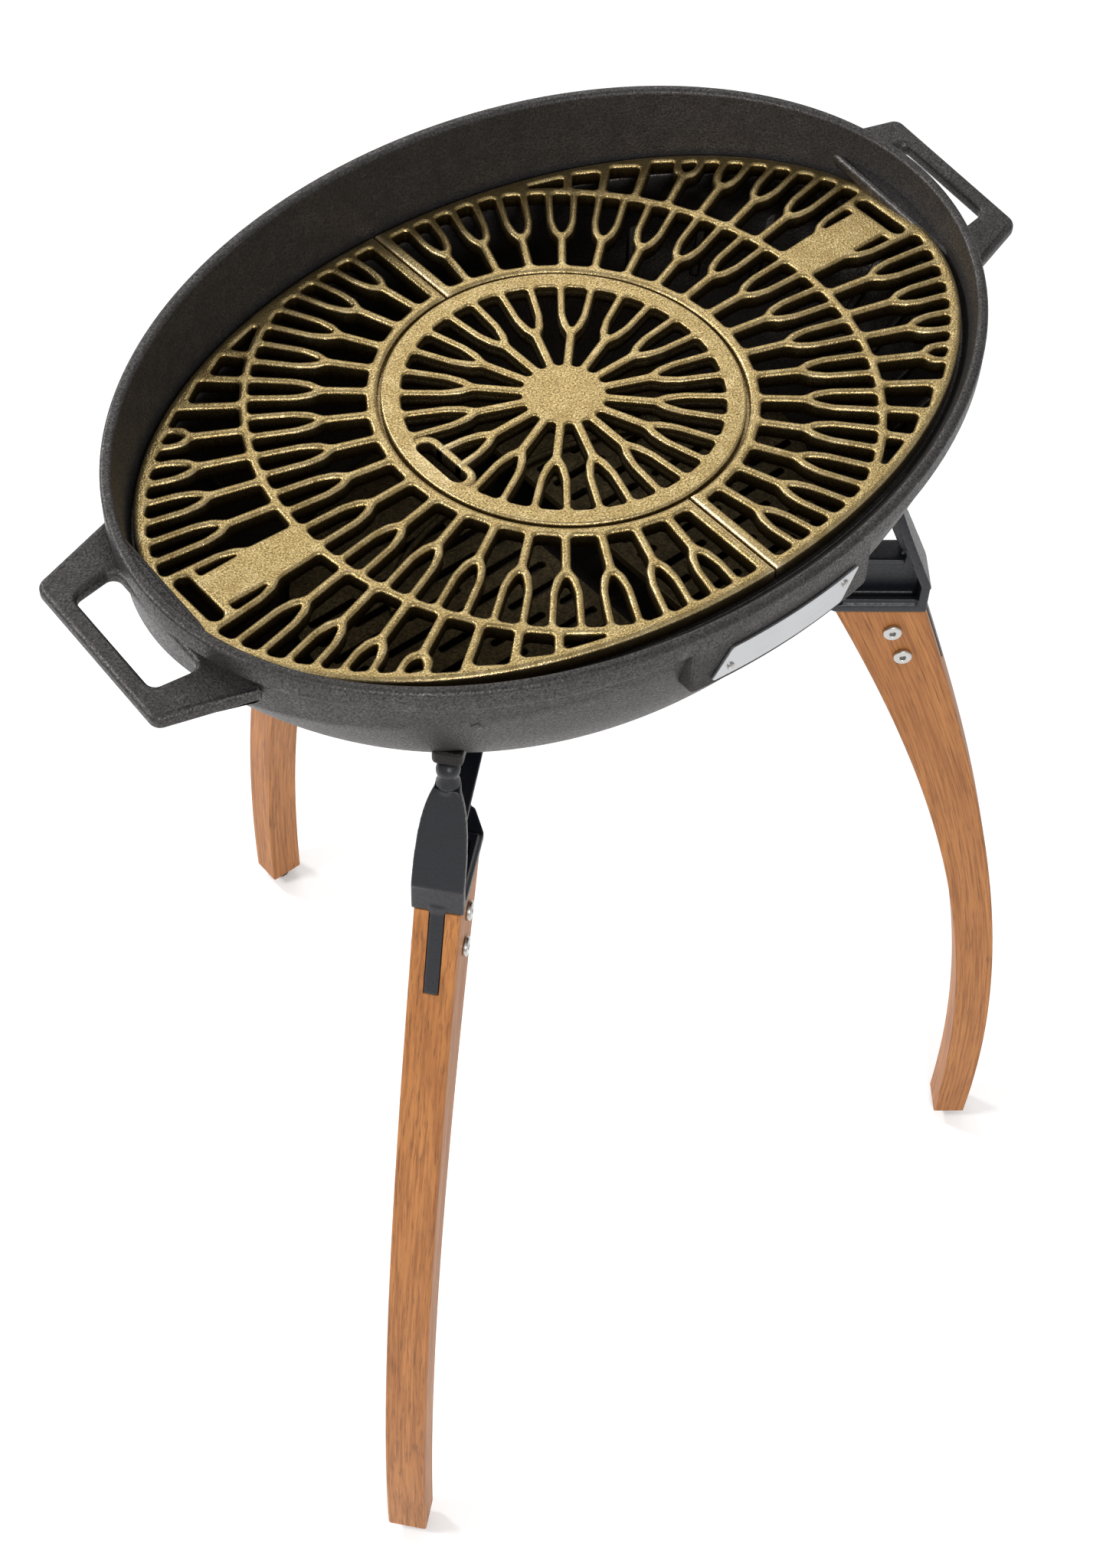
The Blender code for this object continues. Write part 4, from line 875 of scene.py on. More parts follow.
def wall_stations(inward, top, bottom, limit_a=1.0, limit_b=1.0):
    stations = []
    for i in range(1, BOWL_RINGS + 1):
        share = math.sin(i / BOWL_RINGS * math.pi / 2)
        end, side = wall_inset(share)
        a = half_length - COLLAR_STEP - inward - end
        b = half_width - COLLAR_STEP - inward - side
        stations.append((min(a, limit_a), min(b, limit_b), top + (bottom - top) * share, 0.0))
    return stations


def wall_reach(leg, depth):
    """From a leg's station outwards to the outside of the wall at a depth below the cooking surface."""
    top_drop = GRATE_THICKNESS + LEDGE_HEIGHT
    end, side = wall_inset(min(1.0, (depth - top_drop) / (BOWL_DEPTH - top_drop)))
    a, b = half_length - COLLAR_STEP - end, half_width - COLLAR_STEP - side
    angle, offset = leg_planes[leg]
    x, y = polar(offset, angle + math.pi / 2)
    way, start = Vector((math.cos(angle) / a, math.sin(angle) / b)), Vector((x / a, y / b))
    lean = way.dot(start)
    outside = way.length_squared * (1 - start.length_squared)
    return (math.sqrt(lean**2 + outside) - lean) / way.length_squared


def station(leg):
    """The place of a leg's plane: its X axis points outwards along the leg."""
    angle, offset = leg_planes[leg]
    return Matrix.Translation((*polar(offset, angle + math.pi / 2), 0)) @ Matrix.Rotation(angle, 4, "Z")


def inner_wall(depth):
    top_drop = GRATE_THICKNESS + LEDGE_HEIGHT
    end, side = wall_inset(min(1.0, (depth - top_drop) / (BOWL_DEPTH - BOWL_WALL - top_drop)))
    return half_length - COLLAR_STEP - BOWL_WALL - end, half_width - COLLAR_STEP - BOWL_WALL - side


def rim_station(inset, height, share=1.0):
    return (half_length - inset, half_width - inset, height, RIM_TILT * share)


def bowl_skin():
    """Floor, inner wall, ledge, seat, rounded lip, collar and outer wall as one closed skin."""
    crest, soft = RIM_RISE, LIP_ROUND
    wall_top = -GRATE_THICKNESS - LEDGE_HEIGHT
    ledge_a, ledge_b = seat_a - LEDGE_WIDTH, seat_b - LEDGE_WIDTH
    ledge_top = -GRATE_THICKNESS - GAP
    inside = wall_stations(BOWL_WALL, wall_top, -BOWL_DEPTH + BOWL_WALL, ledge_a - 0.0002, ledge_b - 0.0002)
    stations = inside[::-1]
    stations += [
        (ledge_a, ledge_b, ledge_top - LEDGE_HEIGHT, 0.0),
        (ledge_a, ledge_b, ledge_top - 0.0010, 0.0),
        (ledge_a + 0.0008, ledge_b + 0.0008, ledge_top, 0.0),
        (seat_a - 0.0010, seat_b - 0.0010, ledge_top, 0.0),
        (seat_a, seat_b, ledge_top + 0.0010, 0.0),
    ]
    lip_in = LIP_WIDTH + 0.0006
    for share in (0.12, 0.35, 0.60, 0.80):
        inset = SEAT_INSET + (lip_in - SEAT_INSET) * share / 0.88
        height = ledge_top + (crest - soft - ledge_top) * share
        tilt = math.atan(math.tan(RIM_TILT) * share)
        stations.append((half_length - inset, half_width - inset, height, tilt))
    turns = [math.pi / 2 * i / 6 for i in range(7)]
    for turn in turns:
        inset = LIP_WIDTH - soft * (1 - math.cos(turn))
        stations.append(rim_station(inset, crest - soft * (1 - math.sin(turn))))
    for turn in turns:
        stations.append(rim_station(soft * (1 - math.sin(turn)), crest - soft * (1 - math.cos(turn))))
    foot = crest - COLLAR_HEIGHT
    stations += [
        rim_station(0.0, foot + 0.0012),
        rim_station(0.0004, foot + 0.0003),
        rim_station(0.0012, foot - 0.0004),
        rim_station(COLLAR_STEP - 0.0004, foot - 0.0010),
        rim_station(COLLAR_STEP, foot - 0.0022, 0.97),
        rim_station(COLLAR_STEP + 0.0004, foot - 0.0080, 0.80),
        rim_station(COLLAR_STEP + 0.0008, foot - 0.0150, 0.52),
    ]
    return oval_shell("bowl_skin", stations + wall_stations(0.0, wall_top - 0.004, -BOWL_DEPTH))


def handle(side):
    """A flat cast loop in a plane parallel to the rim. Its straight inner end runs into the bowl's wall."""
    tip, root = HANDLE_TIP_WIDTH / 2, HANDLE_ROOT_WIDTH / 2
    reach = half_length + HANDLE_REACH
    start = seat_a - HANDLE_START
    flare = half_length * math.sqrt(1 - (root / half_width) ** 2)
    wall = half_length * 0.985
    outline = [(start, -root - 0.001), (flare, -root), (reach, -tip), (reach, tip), (flare, root),
               (start, root + 0.001)]
    inner_reach = reach - HANDLE_BAR
    inner_tip = tip - HANDLE_ARM
    inner_root = inner_tip + HANDLE_HOLE_FLARE
    hole = [(wall, -inner_root), (inner_reach, -inner_tip), (inner_reach, inner_tip), (wall, inner_root)]
    corners = [0.001, 0.001, HANDLE_CORNER, HANDLE_CORNER, 0.001, 0.001]
    loops = [rounded(outline, corners, 8), rounded(hole, HANDLE_HOLE_CORNER, 8)]
    top = RIM_RISE - HANDLE_DROP
    mesh = layered("handle", loops, round_edges(top - HANDLE_THICKNESS, top, HANDLE_ROUND, steps=6))
    shear = Matrix()
    shear[2][1] = math.tan(RIM_TILT)
    return on_side(placed(mesh, shear), side)


def panel_y(x):
    """The Y of the raised panel's face, which follows the collar."""
    return -(half_width - PANEL_INSET) * math.sqrt(1 - (x / (half_length - PANEL_INSET)) ** 2)


def bent_to_panel(mesh):
    for vert in mesh.vertices:
        vert.co.y += panel_y(vert.co.x)
    return mesh


def spaced(length, steps):
    return [length * (i / steps - 0.5) for i in range(steps + 1)]


def badge_panel():
    outline = [(x, PANEL_BOTTOM) for x in spaced(PANEL_WIDTH, 24)]
    outline += [(x, PANEL_TOP) for x in spaced(PANEL_WIDTH, 24)[::-1]]
    loop = rounded(outline, [0.004 if i in (0, 24) else 0.0005 for i in range(len(outline))])
    layers = round_edges(-PANEL_DEPTH, 0, 0.0012, steps=3)
    return bent_to_panel(upright(layered("badge_panel", [loop], layers)))


def leg_seats(name):
    """The lug that the rest stud bears on, and the boss over the bracket's pad."""
    turn = station(name)
    inside = wall_reach(name, STUD_DROP) - BOWL_WALL * 0.8
    low = (inside, -LUG_WIDTH / 2, -STUD_DROP)
    high = (arm_place + LUG_OVERHANG, LUG_WIDTH / 2, -STUD_DROP + LUG_HEIGHT)
    lug = soft_box(f"{name}_lug", low, high, 0.0022)
    foot, cap = -BOWL_DEPTH - BOSS_HEIGHT, -BOWL_DEPTH + BOWL_WALL / 2
    boss = lathe(f"{name}_boss", [(0, foot), (PAD_RADIUS - 0.001, foot), (PAD_RADIUS, foot + 0.001),
                                  (PAD_RADIUS + 0.001, cap), (0, cap)], 40)
    return [placed(lug, turn), placed(boss, turn @ Matrix.Translation((PAD_PLACE, 0, 0)))]


def fire_bowl():
    parts = [bowl_skin(), handle(1), handle(-1), badge_panel()]
    for name in leg_planes:
        parts += leg_seats(name)
    piece("fire_bowl_casting", joined("fire_bowl", parts), "cast_iron", "stand", "fire_bowl", crisp=50.0)


def badge():
    """The name plate is plain, bent to the panel's curve, with its ends cut on opposite slants."""
    half, slant = BADGE_HEIGHT / 2, BADGE_SLANT
    bottom = [(x - slant / 2, -half) for x in spaced(BADGE_LENGTH - slant, 20)]
    top = [(x + slant / 2, half) for x in spaced(BADGE_LENGTH - slant, 20)[::-1]]
    radii = [0.0005] * 42
    radii[0] = radii[21] = BADGE_POINT
    radii[20] = radii[41] = BADGE_CORNER
    loop = rounded(bottom + top, radii, 8)
    mesh = upright(layered("badge", [loop], round_edges(GAP, GAP + BADGE_THICKNESS, 0.0004, 0.0001, 2)))
    place = Matrix.Translation((0, 0, -BADGE_DROP))
    piece("name_plate_sheet", bent_to_panel(mesh), "brushed_plate", "stand", "name_plate", place=place)


# ---------------------------------------------------------------- charcoal plates


def charcoal_plate_slots(a, b):
    slots = []
    rows = int((b - PLATE_MARGIN) / PLATE_SLOT_PITCH_Y)
    first = PLATE_GAP / 2 + PLATE_MARGIN
    for row in range(-rows, rows + 1):
        y = row * PLATE_SLOT_PITCH_Y
        row_end = a * math.sqrt(1 - ((abs(y) + PLATE_SLOT_WIDTH / 2) / b) ** 2) - PLATE_MARGIN
        if y > PLATE_SLOTS_BACK:
            continue
        start = first - (row % 2) * PLATE_SLOT_PITCH_X / 2
        while start < row_end:
            low, high = max(first, start), min(start + PLATE_SLOT_LENGTH, row_end)
            if high - low > LEAST_WINDOW:
                slots.append((low, high, y))
            start += PLATE_SLOT_PITCH_X
    return slots


def charcoal_plates():
    wall_a, wall_b = inner_wall(PLATE_DROP + PLATE_THICKNESS)
    a, b = wall_a - PLATE_CLEARANCE, wall_b - PLATE_CLEARANCE
    half = PLATE_SLOT_WIDTH / 2
    turn = math.acos(PLATE_GAP / 2 / a)
    loops = [arc(a, b, -turn, turn, 72)]
    for low, high, y in charcoal_plate_slots(a, b):
        corners = [(low, y - half), (high, y - half), (high, y + half), (low, y + half)]
        loops.append(rounded(corners, half * 0.9, 4))
    top = -PLATE_DROP
    ridge_a, ridge_b = 0.66 * a, 0.42 * b
    ridge_turn = math.acos(PLATE_GAP / 2 / ridge_a)
    ridge = arc(ridge_a, ridge_b, BEAD_START, ridge_turn, 30)
    ridge += arc(ridge_a + BEAD_WIDTH, ridge_b + BEAD_WIDTH, ridge_turn, BEAD_START, 30)
    for side, label in ((1, "right"), (-1, "left")):
        plate = layered("charcoal_plate", loops, round_edges(top - PLATE_THICKNESS, top, 0.0010, steps=2))
        bead = layered("plate_bead", [ridge], round_edges(top - 0.002, top + BEAD_HEIGHT, 0.0018, 0.0002, 3))
        mesh = on_side(joined("charcoal_plate", [plate, bead]), side)
        node = f"charcoal_plate_{label}"
        obj = piece(f"{node}_casting", mesh, "cast_iron", "charcoal_plates", node)
        # The plates wear the darker copy of the iron finish: painted shade.
        obj.data.materials[0] = finishes["smoked_iron"]


# ---------------------------------------------------------------- legs


def leg_edges():
    top_out = arm_place + ARM_THICKNESS + ARM_LEAN
    top_in = top_out - LEG_TOP_WIDTH
    foot_out, foot_in = FOOT_RADIUS + LEG_FOOT_WIDTH / 2, FOOT_RADIUS - LEG_FOOT_WIDTH / 2
    high, low = leg_top - (leg_top - leg_bottom) * 0.25, leg_top - (leg_top - leg_bottom) * 0.60
    outer = bezier((top_out, leg_top), (top_out + LEG_BULGE_TOP, high), (foot_out + LEG_BULGE_FOOT, low),
                   (foot_out, leg_bottom), LEG_STEPS)
    inner_high = high - LEG_TOP_WIDTH * 0.55
    inner = bezier((top_in, leg_top), (top_in + LEG_BULGE_TOP * 1.75, inner_high),
                   (foot_in + LEG_BULGE_FOOT * 0.5, low), (foot_in, leg_bottom), LEG_STEPS)
    return outer, inner


def edge_at(edge, height):
    for (x0, z0), (x1, z1) in zip(edge, edge[1:]):
        if z1 <= height <= z0:
            return x0 + (x1 - x0) * (z0 - height) / (z0 - z1)
    return edge[-1][0]


def fin_outline(grow):
    """The bracket's fin inside the leg, from the leg's top down, as (x, z) points with a margin added."""
    levels = [leg_top - FIN_LENGTH * i / FIN_STEPS for i in range(FIN_STEPS + 1)]
    outside = [(edge_at(outer_edge, z) + FIN_PROUD + grow, z) for z in levels]
    outside[-1] = (outside[-1][0], outside[-1][1] - grow)
    back = [(edge_at(inner_edge, z) + FIN_SETBACK - grow, z) for z in (levels[6], levels[0])]
    low_corner = (edge_at(outer_edge, levels[-1]) - FIN_SETBACK * 0.6, levels[-1] - grow)
    return outside + [low_corner] + back


def with_fibre(mesh, seed):
    """Gives each point its place along, across and through the leg, which is how the oak's fibres run."""
    middle = [Vector(((a[0] + b[0]) / 2, 0, (a[1] + b[1]) / 2)) for a, b in zip(outer_edge, inner_edge)]
    lengths = [0.0]
    for a, b in zip(middle, middle[1:]):
        lengths.append(lengths[-1] + (b - a).length)
    flow = []
    for vert in mesh.vertices:
        flat = Vector((vert.co.x, 0, vert.co.z))
        near = min(range(len(middle)), key=lambda i: (middle[i] - flat).length_squared)
        low, high = max(0, near - 1), min(len(middle) - 1, near + 1)
        way = (middle[high] - middle[low]).normalized()
        offset = flat - middle[near]
        along = lengths[near] + offset.dot(way)
        across = offset.dot(Vector((-way.z, 0, way.x)))
        flow += [along + seed, across + seed * 0.13, vert.co.y + seed * 0.07]
    mesh.attributes.new("fibre", "FLOAT_VECTOR", "POINT").data.foreach_set("vector", flow)
    return mesh


def oak_leg(name, seed):
    edge = LEG_EDGE
    layers = round_edges(-LEG_THICKNESS / 2, LEG_THICKNESS / 2, edge, steps=3)
    outline = outer_edge + inner_edge[::-1]
    blank = upright(layered(f"{name}_blank", [outline], layers))
    fin = fin_outline(GAP)
    mouth = [(x + OVERRUN, z) for x, z in fin[:FIN_STEPS + 1]]
    above = leg_top + OVERRUN
    slot = [(mouth[0][0], above)] + mouth + fin[FIN_STEPS + 1:] + [(fin[-1][0], above)]
    half_slot = WEB_THICKNESS / 2 + GAP
    cutter = upright(layered(f"{name}_slot", [slot], [(0, -half_slot), (0, half_slot)]))
    mesh = solid_work(blank, "DIFFERENCE", [cutter])
    with_fibre(mesh, seed)
    piece(f"{name}_oak", mesh, "oiled_oak", "stand", name, place=station(name), crisp=35.0)


# ---------------------------------------------------------------- brackets


def standing_plate(lean):
    """Turns a plate drawn in X-Y so that its X runs across the leg and its Y runs up, leaning inwards."""
    return Matrix.Rotation(-lean, 4, "Y") @ Matrix(((0, 0, 1, 0), (1, 0, 0, 0), (0, 1, 0, 0), (0, 0, 0, 1)))


def bracket(name):
    """Web, shelf, front face, leaning arm, beam with its flange, and pad, melted into one casting."""
    web_half = WEB_THICKNESS / 2
    shelf_out = outer_edge[0][0]
    shelf_top = leg_top + GAP + SHELF_THICKNESS
    arm_foot = leg_top + 0.5 * LEG_BELOW_BOWL
    pad_top = -BOWL_DEPTH - BOSS_HEIGHT - GAP
    beam_top, beam_low = pad_top - 0.0010, pad_top - PAD_THICKNESS + 0.0010
    beam_end = PAD_PLACE + PAD_RADIUS - 0.0040
    stud_base = -STUD_DROP - GAP - STUD_HEIGHT
    arm_in = arm_place - ARM_THICKNESS
    lean_share = (stud_base - beam_top) / (stud_base - arm_foot)
    shelf_in = shelf_out - SHELF_LENGTH
    fin = fin_outline(0.0)
    web = [
        (shelf_out - 0.001, leg_top + 0.5 * SHELF_THICKNESS),
        (shelf_out - 0.001, arm_foot),
        (arm_place + ARM_THICKNESS, stud_base),
        (arm_in, stud_base),
        (arm_in + ARM_LEAN * lean_share, beam_top),
        (beam_end, beam_top),
        (beam_end, beam_low),
        (shelf_in, shelf_top - 0.002),
        (fin[-1][0], leg_top + 0.5 * SHELF_THICKNESS),
    ]
    thin = web_half * 0.72
    parts = [upright(layered(f"{name}_web", [web], [(0, -thin), (0, thin)]))]
    fin_loop = [(fin[0][0], shelf_top - 0.001)] + fin + [(fin[-1][0], shelf_top - 0.001)]
    fin_layers = round_edges(-web_half, web_half, 0.0008, steps=2)
    parts.append(upright(layered(f"{name}_fin", [fin_loop], fin_layers)))
    half, inner_x = SHELF_WIDTH / 2, inner_edge[0][0]
    shelf = rounded([(shelf_out, -half), (shelf_out, half), (inner_x, half), (shelf_in, web_half + 0.002),
                     (shelf_in, -web_half - 0.002), (inner_x, -half)], 0.003)
    parts.append(layered(f"{name}_shelf", [shelf], [(0, leg_top + GAP), (0, shelf_top)]))
    slope = Vector((arm_place + ARM_THICKNESS - shelf_out, stud_base - arm_foot))
    rise = arm_foot - leg_top - GAP
    top = ARM_TOP_WIDTH / 2
    face = layered(f"{name}_face", [[(-half, 0), (half, 0), (half, rise), (-half, rise)]],
                   [(0, -ARM_THICKNESS), (0, 0)])
    parts.append(placed(face, Matrix.Translation((shelf_out, 0, leg_top + GAP)) @ standing_plate(0.0)))
    side = bezier((half, -0.002), (half, slope.length * 0.45), (half * 0.88, slope.length * 0.80),
                  (top, slope.length), 10)
    arm = layered(f"{name}_arm", [side + [(-x, y) for x, y in side[::-1]]], [(0, -ARM_THICKNESS), (0, 0)])
    lean = math.atan2(-slope.x, slope.y)
    parts.append(placed(arm, Matrix.Translation((shelf_out, 0, arm_foot)) @ standing_plate(lean)))
    flange_out = arm_in + ARM_LEAN * lean_share + 0.002
    flange = rounded([(beam_end, -half * 0.42), (flange_out, -half * 0.62), (flange_out, half * 0.62),
                      (beam_end, half * 0.42)], 0.002)
    parts.append(layered(f"{name}_flange", [flange], [(0, beam_top - 0.0045), (0, beam_top)]))
    lip, back, front = half * 0.86, shelf_out - ARM_THICKNESS, inner_x + 0.004
    rib = [(back, -lip), (front, -lip), (front, lip), (back, lip)]
    hollow = [(back - 0.001, -lip * 0.72), (front + 0.005, -lip * 0.72), (front + 0.005, lip * 0.72),
              (back - 0.001, lip * 0.72)]
    parts.append(layered(f"{name}_pocket", [rib, hollow], [(0, shelf_top - 0.001), (0, shelf_top + 0.0035)]))
    for part, radius, high, drop, place, steps in (
        ("pad", PAD_RADIUS, pad_top, PAD_THICKNESS, PAD_PLACE, 40),
        ("seat", top, stud_base, ARM_THICKNESS, arm_place, 32),
    ):
        profile = [(0, high - drop), (radius, high - drop), (radius, high), (0, high)]
        disc = lathe(f"{name}_{part}", profile, steps)
        parts.append(placed(disc, Matrix.Translation((place, 0, 0))))
    mesh = cast_together(parts, CAST_GRAIN, CAST_SMOOTHING)
    piece(f"{name}_bracket_casting", mesh, "black_coated_casting", "stand", f"{name}_bracket", crisp=70.0,
          place=station(name))


def rest_stud(name):
    top = -STUD_DROP - GAP
    base = top - STUD_HEIGHT + GAP
    ball = top - STUD_RADIUS
    profile = [(0, base), (STUD_RADIUS, base), (STUD_RADIUS, base + 0.0015),
               (STUD_NECK, base + 0.3 * STUD_HEIGHT), (STUD_NECK, ball - STUD_RADIUS * 0.6)]
    profile += [(STUD_RADIUS * math.cos(a), ball + STUD_RADIUS * math.sin(a))
                for a in (math.radians(d) for d in range(-40, 66, 15))]
    profile += [(0, top)]
    place = station(name) @ Matrix.Translation((arm_place, 0, 0))
    piece(f"{name}_stud_turned", lathe(f"{name}_stud", profile), "black_coated_casting", "stand",
          f"{name}_rest_stud", place=place)


def foot_glide(name):
    low, high = -cook_top + SOLE_HEIGHT + GAP, leg_bottom - GAP
    place = station(name) @ Matrix.Translation((FOOT_RADIUS, 0, 0))
    cap = [(0, low), (GLIDE_RADIUS - 0.0006, low), (GLIDE_RADIUS, low + 0.0006),
           (GLIDE_RADIUS, high - 0.0012), (GLIDE_RADIUS * 0.95, high - 0.0004), (GLIDE_RADIUS * 0.85, high),
           (0, high)]
    foot, top = -cook_top, -cook_top + SOLE_HEIGHT
    sole = [(0, foot), (SOLE_RADIUS - 0.0008, foot), (SOLE_RADIUS, foot + 0.0008),
            (SOLE_RADIUS, top - 0.0004), (SOLE_RADIUS - 0.0004, top), (0, top)]
    for label, profile, finish, node in (
        ("glide_turned", cap, "stainless_steel", "glide_cap"),
        ("sole_moulded", sole, "black_plastic", "glide_sole"),
    ):
        mesh = lathe(f"{name}_{node}", profile, 48)
        piece(f"{name}_{label}", mesh, finish, "stand", f"{name}_{node}", place=place)


# ---------------------------------------------------------------- fasteners and ribs by rule


def new_tree(name, inputs):
    tree = bpy.data.node_groups.new(name, "GeometryNodeTree")
    tree.interface.new_socket("Geometry", in_out="INPUT", socket_type="NodeSocketGeometry")
    for label, kind in inputs:
        tree.interface.new_socket(label, in_out="INPUT", socket_type=kind)
    tree.interface.new_socket("Geometry", in_out="OUTPUT", socket_type="NodeSocketGeometry")
    return tree, tree.nodes.new("NodeGroupInput"), tree.nodes.new("NodeGroupOutput")


def finish_tree(tree, given, out, geometry):
    """Realize Instances and Set Material, from the tree's own Finish input."""
    realized = add(tree, "GeometryNodeRealizeInstances", [(0, geometry)])
    surfaced = add(tree, "GeometryNodeSetMaterial", [("Geometry", realized.outputs[0]),
                                                     ("Material", given.outputs["Finish"])])
    tree.links.new(surfaced.outputs[0], out.inputs[0])


def make_fastener_tree():
    """A fastener on every point, its Z axis along the point's facing."""
    tree, given, out = new_tree("fasteners_on_points", [("Fastener", "NodeSocketObject"),
                                                        ("Size", "NodeSocketFloat"),
                                                        ("Finish", "NodeSocketMaterial")])
    shape = add(tree, "GeometryNodeObjectInfo", [("Object", given.outputs["Fastener"])])
    facing = add(tree, "GeometryNodeInputNamedAttribute", [("Name", "facing")], data_type="FLOAT_VECTOR")
    turn = add(tree, "FunctionNodeAlignRotationToVector", [("Vector", facing.outputs[0])], axis="Z")
    copies = add(tree, "GeometryNodeInstanceOnPoints", [
        ("Points", given.outputs["Geometry"]), ("Instance", shape.outputs["Geometry"]),
        ("Rotation", turn.outputs[0]), ("Scale", given.outputs["Size"]),
    ])
    finish_tree(tree, given, out, copies.outputs[0])
    return tree


def make_rib_tree():
    """Upright ribs round one end of an oval wall: a line of points bent to the oval, with a bar on each."""
    tree, given, out = new_tree("wall_ribs", [
        ("Count", "NodeSocketInt"), ("Half Length", "NodeSocketFloat"), ("Half Width", "NodeSocketFloat"),
        ("Spread", "NodeSocketFloat"), ("Facing", "NodeSocketFloat"), ("Height", "NodeSocketFloat"),
        ("Lean", "NodeSocketFloat"), ("Bar", "NodeSocketVector"), ("Finish", "NodeSocketMaterial"),
    ])
    line = add(tree, "GeometryNodeMeshLine", [("Count", given.outputs["Count"])])
    index = add(tree, "GeometryNodeInputIndex").outputs[0]
    share = calc(tree, "DIVIDE", index, calc(tree, "SUBTRACT", given.outputs["Count"], 1.0))
    centred = calc(tree, "SUBTRACT", share, 0.5)
    turn = calc(tree, "MULTIPLY_ADD", centred, given.outputs["Spread"], given.outputs["Facing"])
    x = calc(tree, "MULTIPLY", calc(tree, "COSINE", turn), given.outputs["Half Length"])
    y = calc(tree, "MULTIPLY", calc(tree, "SINE", turn), given.outputs["Half Width"])
    place = add(tree, "ShaderNodeCombineXYZ", [(0, x), (1, y), (2, given.outputs["Height"])])
    moved = add(tree, "GeometryNodeSetPosition",
                [("Geometry", line.outputs[0]), ("Position", place.outputs[0])])
    angles = add(tree, "ShaderNodeCombineXYZ", [(1, given.outputs["Lean"]), (2, turn)])
    bar = add(tree, "GeometryNodeMeshCube", [("Size", given.outputs["Bar"])])
    copies = add(tree, "GeometryNodeInstanceOnPoints", [
        ("Points", moved.outputs[0]), ("Instance", bar.outputs[0]), ("Rotation", angles.outputs[0]),
    ])
    finish_tree(tree, given, out, copies.outputs[0])
    return tree


def grown(name, base, tree, values, finish, body, nodes=(), soften=0.0):
    """Runs a tree on a base mesh and keeps the result as a plain piece."""
    obj = helper(base)
    modifier = obj.modifiers.new("rule", "NODES")
    modifier.node_group = tree
    sockets = {item.name: item.identifier for item in tree.interface.items_tree if item.in_out == "INPUT"}
    for label, value in values.items():
        modifier[sockets[label]] = value
    if soften:
        bevel = obj.modifiers.new("soften", "BEVEL")
        bevel.width = soften
        bevel.segments = 3
    settled(obj)
    mesh = obj.data.copy()
    bpy.data.objects.remove(obj)
    return piece(name, mesh, finish, body, *nodes)


def points_with_facing(name, spots):
    mesh = bpy.data.meshes.new(name)
    mesh.from_pydata([spot for spot, _ in spots], [], [])
    facing = mesh.attributes.new("facing", "FLOAT_VECTOR", "POINT")
    facing.data.foreach_set("vector", [value for _, way in spots for value in way])
    return mesh


def socket_head():
    """A flat machine-screw head with a hexagon socket, its seat at z = 0."""
    edge, top = BOLT_HEAD_RADIUS, BOLT_HEAD_HEIGHT
    profile = [(0, -0.004), (edge * 0.45, -0.004), (edge * 0.45, 0), (edge - 0.0003, 0), (edge, 0.0003),
               (edge, top - 0.0009), (edge - 0.0003, top - 0.0004), (edge - 0.0009, top), (0, top)]
    head = lathe("screw_head", profile, 48)
    across = HEX_ACROSS / math.sqrt(3)
    hexagon = [polar(across, math.tau * i / 6) for i in range(6)]
    cutter = layered("hexagon", [hexagon], [(0, top - HEX_DEPTH), (0, top + OVERRUN)])
    mouth = lathe("socket_mouth", [
        (0, top - 0.0005), (across * 0.8, top - 0.0005), (across * 1.12, top + 0.0002),
        (across * 1.12, top + 0.002), (0, top + 0.002),
    ], 32)
    return solid_work(head, "DIFFERENCE", [cutter, mouth])


def hexagon_head():
    across = PAD_BOLT_HEAD
    hexagon = rounded([polar(across, math.tau * i / 6) for i in range(6)], 0.0006, 3)
    return layered("bolt_head", [hexagon], round_edges(0, PAD_BOLT_HEAD_HEIGHT, 0.0006, 0.0001, 2))


def rivet_head():
    return lathe("rivet_head", [(0, -0.001), (RIVET_RADIUS, -0.001), (RIVET_RADIUS, 0.0003),
                                (RIVET_RADIUS * 0.92, 0.0008), (RIVET_RADIUS * 0.6, 0.0012), (0, 0.0014)], 32)


def bolt_places():
    places = []
    for drop in BOLT_DROPS:
        z = leg_top - drop
        places.append((edge_at(outer_edge, z) * BOLT_SHARE + edge_at(inner_edge, z) * (1 - BOLT_SHARE), z))
    return places


